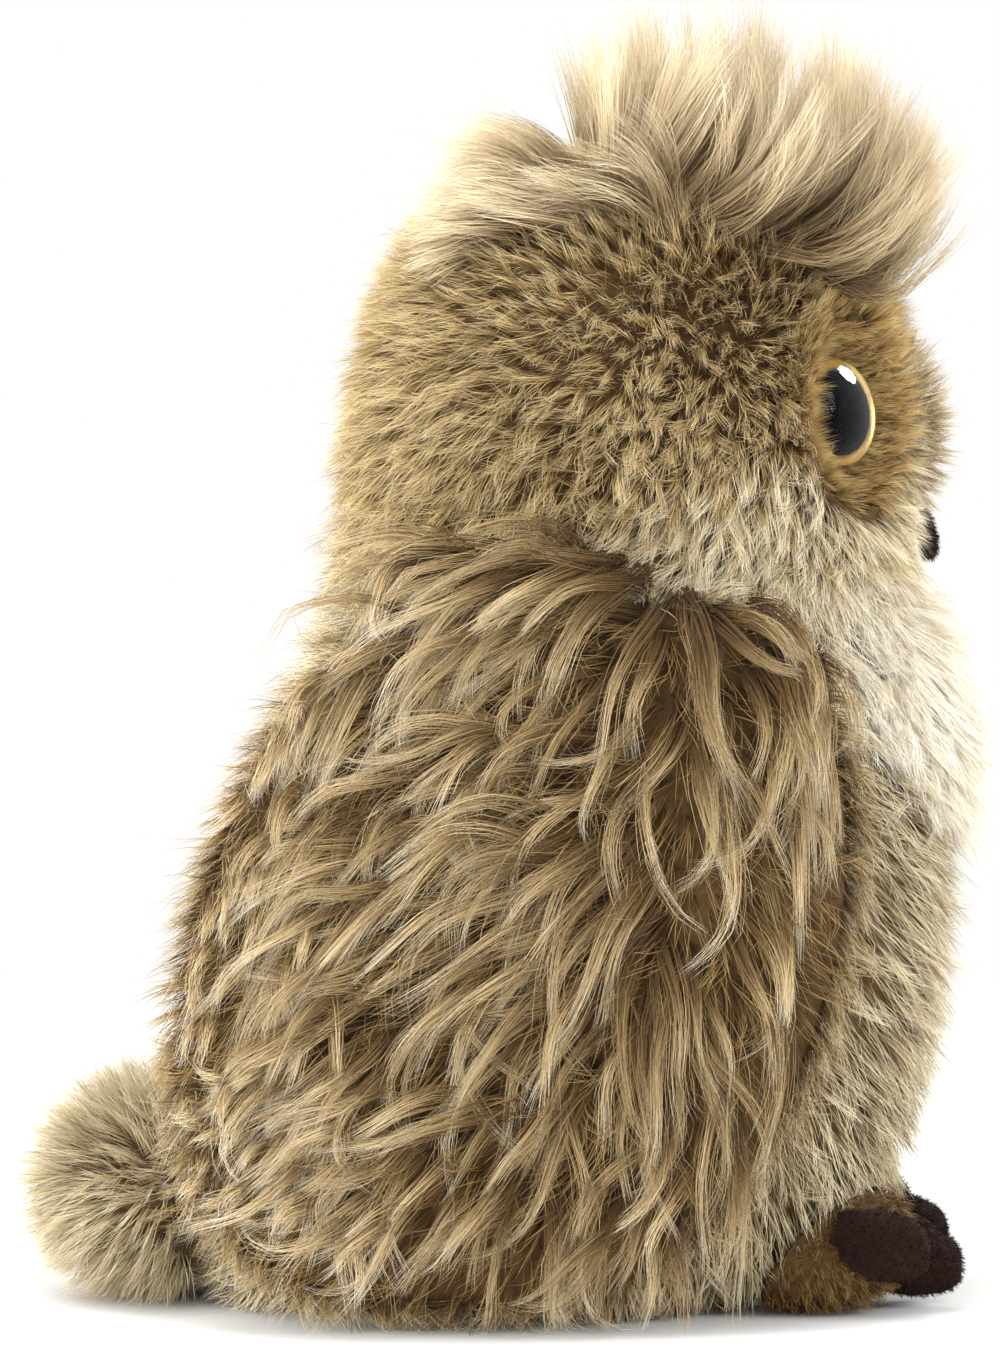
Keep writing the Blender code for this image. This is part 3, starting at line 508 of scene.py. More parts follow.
tan = {
    "shaded": [(0.0, (0.028, 0.013, 0.003)), (0.5, (0.100, 0.050, 0.013)), (1.0, (0.220, 0.123, 0.037))],
    "pale": [(0.0, (0.055, 0.027, 0.007)), (0.5, (0.260, 0.150, 0.046)), (1.0, (0.560, 0.370, 0.145))],
}
paints = {name: pileMaterial(f"{name}Pile", look) for name, look in
          {"olive": olive, "cream": cream, "golden": golden, "brow": brow, "blond": blond,
           "under": under, "suede": suede, "tan": tan, "fawn": fawn, "crest": crestLook}.items()}
# The olive and golden backings are dark partly as painted shade seen through the pile.
backing = skinMaterial("oliveBacking", {"deep": (0.050, 0.027, 0.010), "light": (0.115, 0.068, 0.028)})
creamBacking = skinMaterial("creamBacking", {"deep": (0.45, 0.38, 0.26), "light": (0.66, 0.58, 0.43)})
goldenBacking = skinMaterial("goldenBacking", {"deep": (0.060, 0.032, 0.011),
                                              "light": (0.14, 0.08, 0.030)})
suedeBacking = skinMaterial("suedeBacking", {"deep": (0.010, 0.005, 0.004),
                                            "light": (0.028, 0.014, 0.011)})
print("materials made")


# Body and head.
rootForm = owlSkin()
outerTree = treeOf(rootForm.data)
shrink(rootForm.data, owlForm["inset"])
neck = owlForm["neck"]
bodySkin = part(rootForm, "bodySkin", 1.5 * mm, neck, backing)
headSkin = part(rootForm, "headSkin", neck, 1.0, backing)
cutSockets(headSkin)
belong(bodySkin, node="body_shell")
belong(headSkin, node="head_shell")


def steady(points, first, last, length):  # the same lean at root and tip and the same length all over
    ones = np.ones(len(points))
    return np.stack([first * ones, last * ones], 1), length * ones


def turnFlow(points, flow, reach=7 * mm):  # near an eye the pile parts away from it
    for side in sides:
        away, out, depth = fromAxis(points, side)
        near = np.exp(-np.maximum(away - eyes["socket"], 0) / reach) * (depth > -25 * mm)
        flow = flow * (1 - near[:, None]) + out * near[:, None]
    return flow


def headComb(points, normals):
    flow = np.tile([0.0, 0.72, -0.70], (len(points), 1))
    flow[:, 1] += np.clip(normals[:, 2], 0, 1) * 1.2
    front = np.clip(-normals[:, 1], 0, 1)
    flow[:, 1] -= front * 0.7
    flow[:, 0] += np.sign(points[:, 0]) * front * 0.5
    flow = turnFlow(points, flow)
    low = np.clip((neck + 45 * mm - points[:, 2]) / (45 * mm), 0, 1)
    rear = np.clip(normals[:, 1], 0, 1)
    first = 0.20 + low * 0.30 + rear * 0.15
    last = 0.60 + low * 0.50 + rear * 0.30
    length = 9.8 * mm + low * 2.0 * mm + rear * 1.2 * mm
    beside = np.linalg.norm(points - np.array([0, -80, 152]) * mm, axis=1)
    length = length * (1 - 0.72 * np.exp(-(beside / (17 * mm)) ** 2))  # short pile beside the beak
    return flow, np.stack([first, last], 1), length


def bodyComb(points, normals):
    flow = np.tile([0.0, 0.12, -1.0], (len(points), 1))
    low = np.clip(1 - points[:, 2] / (30 * mm), 0, 1)
    flow += np.stack([normals[:, 0], normals[:, 1], normals[:, 2] * 0], 1) * low[:, None] * 0.8
    front = np.clip(-normals[:, 1], 0, 1)
    ahead = between(-points[:, 1], -15 * mm, 15 * mm)
    first = 0.30 + np.maximum(front * 0.28, ahead * 0.22)
    last = 0.85 + np.maximum(front * 0.25, ahead * 0.2)
    length = 11.0 * mm - low * 3.7 * mm + ahead * 0.7 * mm
    return flow, np.stack([first, last], 1), length


def besideBeak(points):
    return (np.abs(points[:, 0]) > 6 * mm) | (points[:, 2] < 145 * mm) | (points[:, 2] > 161 * mm)


def headKeep(front):
    def keep(points, normals):
        clear = np.ones(len(points))
        for side in sides:
            away, _, depth = fromAxis(points, side)
            clear *= ~((away < eyes["face"]) & (depth > -30 * mm))
        half = points[:, 1] < -25 * mm if front else points[:, 1] >= -25 * mm
        thick = (1 - 0.75 * cheekArea(points)) * besideBeak(points)
        return clear * half * (points[:, 2] > neck - 1 * mm) * thick
    return keep


def bodyKeep(front):
    def keep(points, normals):
        half = points[:, 1] < -15 * mm if front else points[:, 1] >= -15 * mm
        inside = (points[:, 2] < neck + 1 * mm) * (points[:, 2] > 2 * mm)
        return half * inside * (1 - 0.85 * chestArea(points))
    return keep


def between(values, low, high):  # 0 below low and 1 above high, eased
    share = np.clip((values - low) / (high - low), 0, 1)
    return share * share * (3 - 2 * share)


def chestArea(points):  # 1 on the pale front of the chest
    front, height = -points[:, 1], points[:, 2]
    low = np.interp(front / mm, [60, 69, 80, 90], [124, 116, 109, 96]) * mm
    return between(front, 56 * mm, 67 * mm) * between(height, low - 5 * mm, low + 5 * mm)


def cheekArea(points):  # 1 on the pale lower front of the head
    front, height = -points[:, 1], points[:, 2]
    return between(-height + front * 0.4, -156 * mm, -136 * mm) * between(front, 10 * mm, 38 * mm)


# Paler at the rear as painted rim light, paler toward the top, and darker in a band under the tufts as
# painted shadow; the pale cheek is the fur's own colour.
def headShade(points, normals):
    front, height = -points[:, 1], points[:, 2]
    rear = between(-front, -12 * mm, 24 * mm)
    under = between(front, 0, 30 * mm) * between(height, 194 * mm, 206 * mm)
    under = under * between(np.abs(points[:, 0]), 36 * mm, 44 * mm)
    top = between(height, 196 * mm, 216 * mm)
    return 0.25 * cheekArea(points) + 0.24 * rear + 0.22 * top - 0.08 * under


headPile = {"count": 39000, "clump": 1.7 * mm, "width": 0.19 * mm, "stray": 0.65, "leanStray": 0.2,
            "patchy": 0.14, "tone": 0.52, "frizz": 0.08, "pull": (0.3, 0.7),
            "ragged": (0.74, 1.06), "shade": headShade}
bodyPile = {"count": 22500, "clump": 1.9 * mm, "width": 0.28 * mm, "stray": 0.75, "leanStray": 0.16,
            "patchy": 0.17, "tone": 0.84, "frizz": 0.07, "pull": (0.3, 0.65),
            "ragged": (0.78, 1.06)}
bellyPile = {**bodyPile, "count": 25000, "clump": 2.6 * mm, "width": 0.24 * mm, "stray": 0.45,
             "tone": 0.22, "patchy": 0.24, "clumpTone": 0.24, "pull": (0.35, 0.75),
             "shade": lambda points, normals: 0.3 * between(-points[:, 1], 40 * mm, 85 * mm)}
# The back of the body is painted paler towards the rear, as painted rim light.
rearPile = {**bodyPile, "tone": 0.2,
            "shade": lambda points, normals: 0.8 * between(points[:, 1], 10 * mm, 40 * mm)}
for name, skin, look, comb, keep, seed, paint in (
    ("headPileFront", rootForm, headPile, headComb, headKeep(True), 11, "olive"),
    ("headPileRear", rootForm, headPile, headComb, headKeep(False), 12, "olive"),
    ("bodyPileFront", rootForm, bellyPile, bodyComb, bodyKeep(True), 13, "fawn"),
    ("bodyPileRear", rootForm, rearPile, bodyComb, bodyKeep(False), 14, "fawn"),
):
    belong(pile(name, skin, look, comb, paints[paint], seed, keep))

cheekPile = {"count": 14000, "clump": 1.7 * mm, "width": 0.2 * mm, "stray": 0.5, "leanStray": 0.2,
             "patch": 14 * mm, "patchy": 0.2, "tone": 0.8, "frizz": 0.06, "pull": (0.3, 0.6)}


def cheekComb(points, normals):
    flow, lean, length = headComb(points, normals)
    return flow, lean + 0.1, length + 1 * mm


def cheekKeep(points, normals):
    clear = [fromAxis(points, side)[0] > eyes["socket"] + 1 * mm for side in sides]
    return (cheekArea(points) * (points[:, 2] > neck - 5 * mm) * clear[0] * clear[1]
            * besideBeak(points))


belong(pile("cheekPile", rootForm, cheekPile, cheekComb, paints["fawn"], 15, cheekKeep))
print("body and head covered")


# Face discs, brow bridge and beak.
discPile = {"count": 8500, "clump": 1.1 * mm, "width": 0.19 * mm, "stray": 0.35,
            "patch": 9 * mm, "patchy": 0.16, "tone": 0.6, "pull": (0.3, 0.6), "frizz": 0.07}
facePile = {"count": 7500, "clump": 1.2 * mm, "width": 0.15 * mm, "stray": 0.5,
            "patch": 10 * mm, "patchy": 0.18, "tone": 0.5, "pull": (0.2, 0.5), "frizz": 0.08}


def discComb(side):
    def comb(points, normals):
        away, out, _ = fromAxis(points, side)
        share = np.clip((away - 10 * mm) / (10 * mm), 0, 1)
        rear = np.clip(out[:, 1], 0, 1) * (1 - share)
        lean = np.stack([0.12 + share * 0.4 - rear * 0.32, 0.4 + share * 0.5 - rear * 0.6], 1)
        return out, lean, 4.8 * mm + share * 3.0 * mm + rear * 5.0 * mm
    return comb


def faceComb(side):  # the ring of longer pile round a face disc
    return lambda points, normals: (fromAxis(points, side)[1], *steady(points, 0.3, 0.75, 8.2 * mm))


def faceKeep(side, sign):
    def keep(points, normals):
        away, _, depth = fromAxis(points, side)
        ring = (away > eyes["socket"] + 0.3 * mm) & (away < eyes["face"] + 1 * mm) & (depth > -30 * mm)
        return ring * (points[:, 0] * sign > -0.5 * mm) * (1 - cheekArea(points)) * besideBeak(points)
    return keep


def discKeep(side):
    outward = np.array(axes[side][1])

    def keep(points, normals):
        away = fromAxis(points, side)[0]
        return (normals @ outward > 0.1) * (away > 9.6 * mm)
    return keep


for seed, side in enumerate(sides):
    disc = loose(f"face_disc_{side}", f"discSkin_{side}", 0.9 * mm, 0, goldenBacking, 1)
    belong(disc, node=f"face_disc_{side}")
    belong(pile(f"discPile_{side}", disc, discPile, discComb(side), paints["golden"], 21 + seed,
                discKeep(side)))
    belong(pile(f"facePile_{side}", rootForm, facePile, faceComb(side), paints["golden"], 24 + seed,
                faceKeep(side, sides[side])))

bridgeShape = {"wide": 17 * mm, "deep": 22 * mm, "tall": 36 * mm, "back": 7 * mm}
low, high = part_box("brow_bridge")
bm = bmesh.new()
bmesh.ops.create_uvsphere(bm, u_segments=32, v_segments=24, radius=0.5)
bmesh.ops.scale(bm, vec=(bridgeShape["wide"], bridgeShape["deep"], bridgeShape["tall"]), verts=bm.verts)
bmesh.ops.translate(bm, vec=(0, low.y + bridgeShape["deep"] / 2 + 2 * mm, (low.z + high.z) / 2),
                    verts=bm.verts)
bridge = fromBmesh("bridgeSkin", inOrder(bm), goldenBacking)
belong(bridge, node="brow_bridge")
# Strands facing forward are painted paler, as painted light from behind shining through them.
bridgePile = {"count": 7200, "clump": 1.5 * mm, "width": 0.14 * mm, "stray": 0.5, "patch": 8 * mm,
              "ragged": (0.6, 1.2), "patchy": 0.22, "tone": 0.55, "pull": (0.4, 0.7), "frizz": 0.09,
              "shade": lambda points, normals: 0.4 * np.clip(-normals[:, 1], 0, 1) ** 2}


def bridgeComb(points, normals):
    rise = (points[:, 2] - (neck + 25 * mm)) / (19 * mm)
    flow = np.stack([np.sign(points[:, 0]) * 0.7, points[:, 0] * 0 - 0.4, rise], 1)
    return flow, *steady(points, 0.15, 0.45, 7.2 * mm)


belong(pile("bridgePile", bridge, bridgePile, bridgeComb, paints["brow"], 31,
            lambda points, normals: normals[:, 1] < 0.5))

fuzz = {"count": 1500, "clump": 1.0 * mm, "width": 0.13 * mm, "stray": 0.8, "steps": 2, "patch": 7 * mm,
        "patchy": 0.2, "tone": 0.5, "pull": (0.1, 0.3), "frizz": 0.15}


def fuzzComb(flow, length):
    return lambda points, normals: (np.tile(flow, (len(points), 1)), *steady(points, 0.3, 0.9, length))


beak = loose("beak", "beakSkin", 0.8 * mm, 0.4 * mm, suedeBacking)
belong(beak, node="beak")
belong(pile("beakPile", beak, fuzz, fuzzComb((0, -0.3, -1), 1.0 * mm), paints["suede"], 32))
print("face made")


# Chest bib.
def outsideForm(limit):  # keeps roots that stand clear of the stuffed form
    def keep(points, normals):
        clear = []
        for point in points:
            near, facing, _, _ = outerTree.find_nearest(Vector(point))
            clear.append((Vector(point) - near).dot(facing) > limit)
        return np.array(clear, float)
    return keep


bib = loose("chest_bib", "bibSkin", 2.0 * mm, 2.0 * mm, creamBacking)
for vert in bib.data.vertices:  # its top and sides lie down into the pile round it
    vert.co.y += 5.5 * mm * max(between(vert.co.z, 128 * mm, 146 * mm),
                                between(abs(vert.co.x), 24 * mm, 41 * mm))
belong(bib, node="chest_bib")
bibPile = {"count": 14500, "clump": 1.8 * mm, "width": 0.17 * mm, "stray": 0.3, "leanStray": 0.12,
           "patchy": 0.12, "tone": 0.75, "pull": (0.1, 0.4), "frizz": 0.07}
fringe = {"count": 14500, "clump": 1.7 * mm, "width": 0.17 * mm, "stray": 0.35, "leanStray": 0.12,
          "patchy": 0.14, "tone": 0.15, "pull": (0.1, 0.4), "frizz": 0.07,
          "shade": lambda points, normals: 0.55 * between(-points[:, 1], 60 * mm, 72 * mm)}


def bibComb(points, normals):
    flow = np.stack([points[:, 0] * 4, np.full(len(points), -0.05), -np.ones(len(points))], 1)
    return flow, *steady(points, 0.75, 1.25, 12 * mm)


def bibKeep(points, normals):
    front = (normals[:, 1] < -0.6) & (points[:, 2] < neck - 3 * mm)
    top = (normals[:, 2] > 0.25) & (normals[:, 1] < 0.3) & (np.abs(points[:, 0]) < 33 * mm)
    return (front | top) * outsideForm(-6 * mm)(points, normals)


def besideBib(points, normals):
    return chestArea(points) * (points[:, 2] < neck + 2 * mm)


for name, skin, look, seed, keep in (
    ("bibPile", bib, bibPile, 41, bibKeep), ("chestPile", rootForm, fringe, 42, besideBib),
):
    belong(pile(name, skin, look, bibComb, paints["cream"], seed, keep))
print("bib made")


# Tail.
tail = loose("tail", "tailSkin", 2.2 * mm, 6.5 * mm, backing)
belong(tail, node="tail")
tailPile = {"count": 16500, "clump": 1.9 * mm, "width": 0.24 * mm, "stray": 0.6, "leanStray": 0.2,
            "patchy": 0.16, "tone": 0.52, "frizz": 0.07, "pull": (0.3, 0.65)}


def tailComb(points, normals):
    ones = np.ones(len(points))
    flow = np.stack([normals[:, 0] * 0.4, ones * 0.7, -ones * 0.5], 1)
    return flow, *steady(points, 0.2, 0.6, 13 * mm)


belong(pile("tailPile", tail, tailPile, tailComb, paints["fawn"], 51, outsideForm(-9 * mm)))
print("tail made")


# Feet and toes.
footPile = {"count": 5000, "clump": 1.3 * mm, "width": 0.2 * mm, "stray": 0.5,
            "patch": 12 * mm, "patchy": 0.2, "tone": 0.5, "frizz": 0.07, "pull": (0.2, 0.5)}
toePile = {**fuzz, "count": 2200, "width": 0.16 * mm}
for seed, side in enumerate(sides):
    foot = loose(f"foot_{side}", f"footSkin_{side}", 1.4 * mm, 2.0 * mm, goldenBacking)
    belong(foot, node=f"foot_{side}")
    belong(pile(f"footPile_{side}", foot, footPile, fuzzComb((0, -0.6, -0.8), 4 * mm),
                paints["tan"], 61 + seed, outsideForm(-6 * mm)))
    for k, toe in enumerate(("inner", "middle", "outer")):
        skin = loose(f"toe_{side}_{toe}", f"toeSkin_{side}_{toe}", 1.1 * mm, 0.4 * mm, suedeBacking)
        belong(skin, node=f"toe_{side}_{toe}")
        belong(pile(f"toePile_{side}_{toe}", skin, toePile, fuzzComb((0, -0.8, -0.4), 1.1 * mm),
                    paints["suede"], 70 + seed * 5 + k))
print("feet made")


# Ear tufts.
tufts = {"locks": 215, "sides": 65, "strands": 43, "steps": 6, "length": 43.5 * mm, "width": 0.2 * mm,
         "spread": 2.8 * mm, "front": -66 * mm, "back": 2 * mm, "middle": 31 * mm, "half": 12 * mm,
         "gather": 0.7, "taper": 0.48, "frizz": 1.1 * mm, "tone": 0.48, "lockTone": 0.28, "loose": 0.24,
         "ragged": (0.74, 1.06), "peaks": 13, "bunch": 0.3,
         "shade": lambda roots: 0.3 - 0.5 * between(-roots[:, 1], 10 * mm, 50 * mm),
         # how low the hair comes at some reaches to the front, in mm
         "reach": [45, 50, 60, 68, 74, 81, 89, 96], "lowest": [205, 210, 208, 203, 198, 203, 211, 220]}
# How the hair of a tuft leans along its root line, from the front to the back: the angle from upright
# (forwards is below 0) and how it changes to the tip, in radians, and the length as a share.
fan = {
    "crown": {"place": [0, 0.08, 0.16, 0.27, 0.37, 0.5, 0.62, 0.67, 0.73, 0.85, 1.0],
              "lean": [-0.85, -1.03, -1.14, -1.12, -0.95, -0.35, -0.05, 0.1, 0.78, 1.1, 1.35],
              "bow": [0.4, 0.9, 1.25, 1.5, 1.4, 0.6, 0.0, 0.2, 1.5, 0.9, 0.7],
              "length": [0.70, 0.90, 1.0, 1.08, 1.02, 0.92, 0.95, 0.78, 0.78, 0.55, 0.42], "splay": 0.05},
    "side": {"place": [0, 0.10, 0.25, 0.42, 0.5, 0.7, 1.0],
             "lean": [-0.85, -1.15, -1.25, -1.2, 0.9, 1.2, 1.45],
             "bow": [0.5, 1.0, 1.4, 1.3, 0.9, 0.6, 0.4],
             "length": [0.6, 0.85, 1.0, 0.95, 0.62, 0.6, 0.44], "splay": 0.45},
}


def crest(side, sign, seed):  # long straight hair along the crown, fanned from front to back
    rng = np.random.default_rng(seed)
    bvh = treeOf(rootForm.data)
    spines, facings = [], []
    for kind, count in (("crown", tufts["locks"]), ("side", tufts["sides"])):
        run = fan[kind]
        share = rng.random(count)
        peak = (share * tufts["peaks"]).astype(int)  # locks stand together in peaks
        share = share + tufts["bunch"] * ((peak + 0.5) / tufts["peaks"] - share)
        across = rng.uniform(-1.25, 1, count) if kind == "crown" else rng.uniform(0.85, 1.5, count)
        x = sign * tufts["middle"] + sign * across * tufts["half"] * (1 - 0.4 * (2 * share - 1) ** 2)
        y = tufts["front"] + (tufts["back"] - tufts["front"]) * share
        roots, normals = np.zeros((count, 3)), np.zeros((count, 3))
        for k in range(count):
            roots[k], normals[k] = bvh.ray_cast(Vector((x[k], y[k], 0.4)), Vector((0, 0, -1)))[:2]
        lean, bow, length = (np.interp(share, run["place"], run[key])
                             for key in ("lean", "bow", "length"))
        group = peak + tufts["peaks"] * (across > 0)
        lean = lean + rng.normal(0, 0.18, tufts["peaks"] * 2)[group] + rng.normal(0, 0.1, count)
        bow = bow + rng.normal(0, 0.25, tufts["peaks"] * 2)[group] + rng.normal(0, 0.2, count)
        length = tufts["length"] * length * rng.uniform(0.9, 1.1, tufts["peaks"] * 2)[group]
        length = length * rng.uniform(0.84, 1.04, count)
        steps = tufts["steps"]
        reach = (np.arange(steps) + 0.5) / steps
        tilt = lean[:, None] + bow[:, None] * (reach - 0.25)
        splay = sign * run["splay"] * (1 - reach * 1.1)[None] + rng.normal(0, 0.16, count)[:, None]
        splay = splay + (sign * across * 0.25)[:, None] * (kind == "crown")
        step = np.stack([np.sin(splay), np.sin(tilt) * np.cos(splay), np.cos(tilt) * np.cos(splay)], -1)
        step *= length[:, None, None] / steps
        lift = normals * (3 * mm if kind == "side" else 0)
        spine = np.concatenate([np.zeros((count, 1, 3)), step.cumsum(1)], 1) + (roots + lift)[:, None]
        lowest = np.interp(-spine[..., 1] / mm, tufts["reach"], tufts["lowest"]) * mm
        spine[..., 2] = np.maximum(spine[..., 2], lowest)
        spines.append(spine)
        facings.append(normals)
    return np.concatenate(spines), np.concatenate(facings), rng


def dress(name, spines, normals, look, material, rng, flat=1.0):  # strands round the spines of locks
    count, levels, _ = spines.shape
    each = max(6, int(look["strands"] * thinning))
    run = unit(np.gradient(spines, axis=1))
    side = unit(np.cross(run, normals[:, None, :]))
    lift = np.cross(side, run)
    total = count * each
    lock = np.repeat(np.arange(count), each)
    level = np.linspace(0, 1, levels)[None, :]
    angle = rng.uniform(0, math.tau, total)
    radius = np.sqrt(rng.random(total)) * look["spread"]
    radius = radius * rng.uniform(0.7, 1.25, count)[lock]
    stray = rng.random(total) < look["loose"]  # some strands leave their lock
    hold = look["gather"] * np.where(stray, rng.uniform(0.0, 0.6, total), rng.uniform(0.85, 1.05, total))
    fall = 1 - hold[:, None] * level ** look.get("gatherPower", 1.1)
    swell = 1 + look.get("swell", 0.0) * np.sin(np.minimum(level * 1.6, 1) * math.pi)
    out = (radius[:, None] * fall * swell)[..., None]
    grow = rng.uniform(*look["ragged"], total)
    place = np.clip(level * grow[:, None] * (levels - 1), 0, levels - 1.001)
    low = place.astype(int)
    mix = (place - low)[..., None]
    row = lock[:, None]
    path = spines[row, low] * (1 - mix) + spines[row, low + 1] * mix
    path = path + side[row, low] * out * np.cos(angle)[:, None, None]
    path = path + lift[row, low] * out * np.sin(angle)[:, None, None] * flat
    frizz = rng.normal(0, look["frizz"], (total, 1, 3)) * np.where(stray, 2.2, 1.0)[:, None, None]
    path = path + frizz * (level**1.6)[..., None]
    tones = look["tone"] + rng.normal(0, look["lockTone"], count)[lock] + rng.normal(0, 0.12, total)
    tones = tones + look["shade"](spines[:, 0])[lock]
    widths = look["width"] * rng.uniform(0.7, 1.25, total) * np.where(stray, 0.75, 1.0)
    return strands(name, path, normals[lock], widths, tones, rng.uniform(-1.0, 1.0, total), material,
                   look.get("taper", 0.6))


for seed, (side, sign) in enumerate(sides.items()):
    spines, normals, rng = crest(side, sign, 81 + seed)
    belong(dress(f"tuftHair_{side}", spines, normals, tufts, paints["crest"], rng),
           node=f"ear_tuft_{side}")
print("tufts made")


# Wings.
# Locks toward the back of a wing are painted paler, as painted rim light.
wings = {"locks": 330, "shoulder": 46, "strands": 33, "steps": 7, "length": 56 * mm, "width": 0.2 * mm,
         "spread": 2.4 * mm, "gather": 0.92, "gatherPower": 0.85, "swell": 0.3, "frizz": 0.8 * mm,
         "tone": 0.46, "lockTone": 0.34, "loose": 0.24, "ragged": (0.62, 1.04),
         "shade": lambda roots: 0.9 * between(roots[:, 1], 0, 44 * mm)}
# Which way the hair runs on a wing: degrees from straight down, towards the back. Each row goes from
# the rear edge to the front edge, at the reaches to the front given in mm.
hairFlow = {
    "reach": [-50, -30, 0, 27, 43, 60],
    "highStart": [58, 84, 98, 92, -50, -78], "highEnd": [24, 28, 30, 34, -8, -12],
    "lowStart": [62, 64, 64, 46, 2, -12], "lowEnd": [50, 44, 30, 12, 2, 6],
}
# How far the hair hangs out to the back and to the front at some heights, in mm.
hairEdge = {"height": [13, 39, 69, 99, 123, 147], "back": [56, 57, 56, 48, 39, 31],
            "front": [38, 52, 58, 61, 64, 68]}


def wingFlow(y, z):  # the two headings of the hair at a place, at the root and at the tip, in radians
    reach = -y / mm
    high = between(z, 50 * mm, 96 * mm)
    start, end = (np.interp(reach, hairFlow["reach"], hairFlow["high" + key]) * high
                  + np.interp(reach, hairFlow["reach"], hairFlow["low" + key]) * (1 - high)
                  for key in ("Start", "End"))
    return np.radians(start), np.radians(end)


def wingEdge(z, key):
    return np.interp(z / mm, hairEdge["height"], hairEdge[key]) * mm


def wingLocks(side, sign, skin, seed):
    rng = np.random.default_rng(seed)
    tree = treeOf(skin.data)
    facing = np.array([sign, 0, 0.0])
    bare = Mottle(seed + 50, 34 * mm)

    def rooted(points, facings):  # the outer face and the top of the wing, in thick and thin patches
        outside = (facings @ facing > 0.25) | ((facings[:, 2] > 0.2) & (facings @ facing > -0.3))
        inside = -points[:, 1] < wingEdge(points[:, 2], "front") - 7 * mm
        thick = np.clip(0.9 + 0.7 * bare.at(points), 0.3, 1.7)
        return outside * inside * (points[:, 2] > 24 * mm) * thick

    roots = scatter(skin.data, wings["locks"], rng, rooted)[0]
    extra = wings["shoulder"]  # locks that come out from under the head's pile
    back = rng.uniform(-62, 14, extra)
    height = np.interp(back, [-62, -50, -30, 14], [130, 139, 147, 149]) + rng.uniform(-3, 3, extra)
    top = np.stack([sign * rng.uniform(57, 66, extra), back, height], 1) * mm
    roots = np.concatenate([roots, top])
    count, steps = len(roots), wings["steps"]
    start, end = wingFlow(roots[:, 1], roots[:, 2])
    patch = Mottle(seed, 30 * mm).at(roots)
    start = start + patch * 0.45 + rng.normal(0, 0.36, count)
    end = end + patch * 0.3 + rng.normal(0, 0.3, count)
    curl = rng.normal(0, 0.75, count)
    length = wings["length"] * rng.uniform(0.6, 1.15, count)
    length *= np.interp(roots[:, 2], [20 * mm, 60 * mm, 100 * mm, 145 * mm], [0.55, 1.0, 0.95, 0.85])
    length *= np.interp(-roots[:, 1], [-52 * mm, -25 * mm, 30 * mm, 66 * mm], [0.6, 0.9, 1.0, 0.7])
    spare = np.where(rng.random(count) < 0.2, rng.uniform(5, 17, count), rng.uniform(-8, 4, count)) * mm
    room = wingEdge(roots[:, 2] - 25 * mm, "back") + spare - roots[:, 1]
    length *= np.clip(room / (32 * mm), 0.4, 1)
    spine = np.zeros((count, steps + 1, 3))
    spine[:, 0] = roots
    rise = rng.uniform(3.0, 10.0, count) * mm
    phase = rng.uniform(0, math.tau, count)
    for k in range(steps):
        reach = (k + 0.5) / steps
        turn = start + (end - start) * min(1, reach * 1.25) + 0.2 * np.sin(reach * 8 + phase)
        turn = turn + curl * reach * reach
        y, z = spine[:, k, 1], spine[:, k, 2]
        back = np.maximum(wingEdge(z, "back") + spare - y, 1 * mm) * 0.5
        front = np.maximum(wingEdge(z, "front") + spare * 0.4 + y, 0) * 0.4
        slide = np.clip(np.sin(turn) * length / steps, -front, back)
        drop = np.sqrt(np.maximum((length / steps) ** 2 - slide ** 2, 0)) * np.sign(np.cos(turn))
        spine[:, k + 1, 1] = y + slide
        spine[:, k + 1, 2] = z - drop
        share = (k + 1) / steps
        for i in range(count):
            near = tree.find_nearest(Vector((sign * 82 * mm, *spine[i, k + 1, 1:])))[0]
            proud = rise[i] * math.sin(min(1.0, share * 1.2) * math.pi * 0.85) + 1.0 * mm
            spine[i, k + 1, 0] = near.x + sign * proud
    spine[..., 2] = np.maximum(spine[..., 2], 1.2 * mm)
    return spine, np.tile(facing, (count, 1)), rng


# The under pile is dark partly as painted shade between the locks; it and the rim pile are painted paler
# toward the back, as painted rim light.
wingUnder = {"count": 5200, "clump": 3.0 * mm, "width": 0.26 * mm, "stray": 0.5,
             "patchy": 0.15, "tone": 0.55, "frizz": 0.1, "pull": (0.4, 0.7),
             "shade": lambda points, normals: 0.5 * between(points[:, 1], 15 * mm, 45 * mm)}
wingRim = {"count": 6500, "clump": 1.6 * mm, "width": 0.22 * mm, "stray": 0.6,
           "patchy": 0.15, "tone": 0.7, "frizz": 0.1, "pull": (0.15, 0.45), "ragged": (0.6, 1.1),
           "shade": lambda points, normals: 0.6 * between(points[:, 1], 0, 30 * mm)}
liningPile = {"count": 3000, "clump": 1.8 * mm, "width": 0.28 * mm, "stray": 0.5,
              "patchy": 0.12, "tone": 0.5, "frizz": 0.08}


def wingComb(points, normals):
    start, end = wingFlow(points[:, 1], points[:, 2])
    heading = (start + end) / 2
    flow = np.stack([heading * 0, np.sin(heading), -np.cos(heading)], 1)
    return flow, *steady(points, 0.6, 1.25, 15 * mm)


def rimComb(points, normals):  # hair at the wing's edge falls along it
    flow = np.stack([normals[:, 0] * 0, normals[:, 1] * 0.35, normals[:, 2] * 0 - 1], 1)
    return flow, *steady(points, 0.75, 1.2, 12 * mm)


def towards(sign, low, high=1.1):
    return lambda points, normals: (normals[:, 0] * sign > low) & (normals[:, 0] * sign < high)


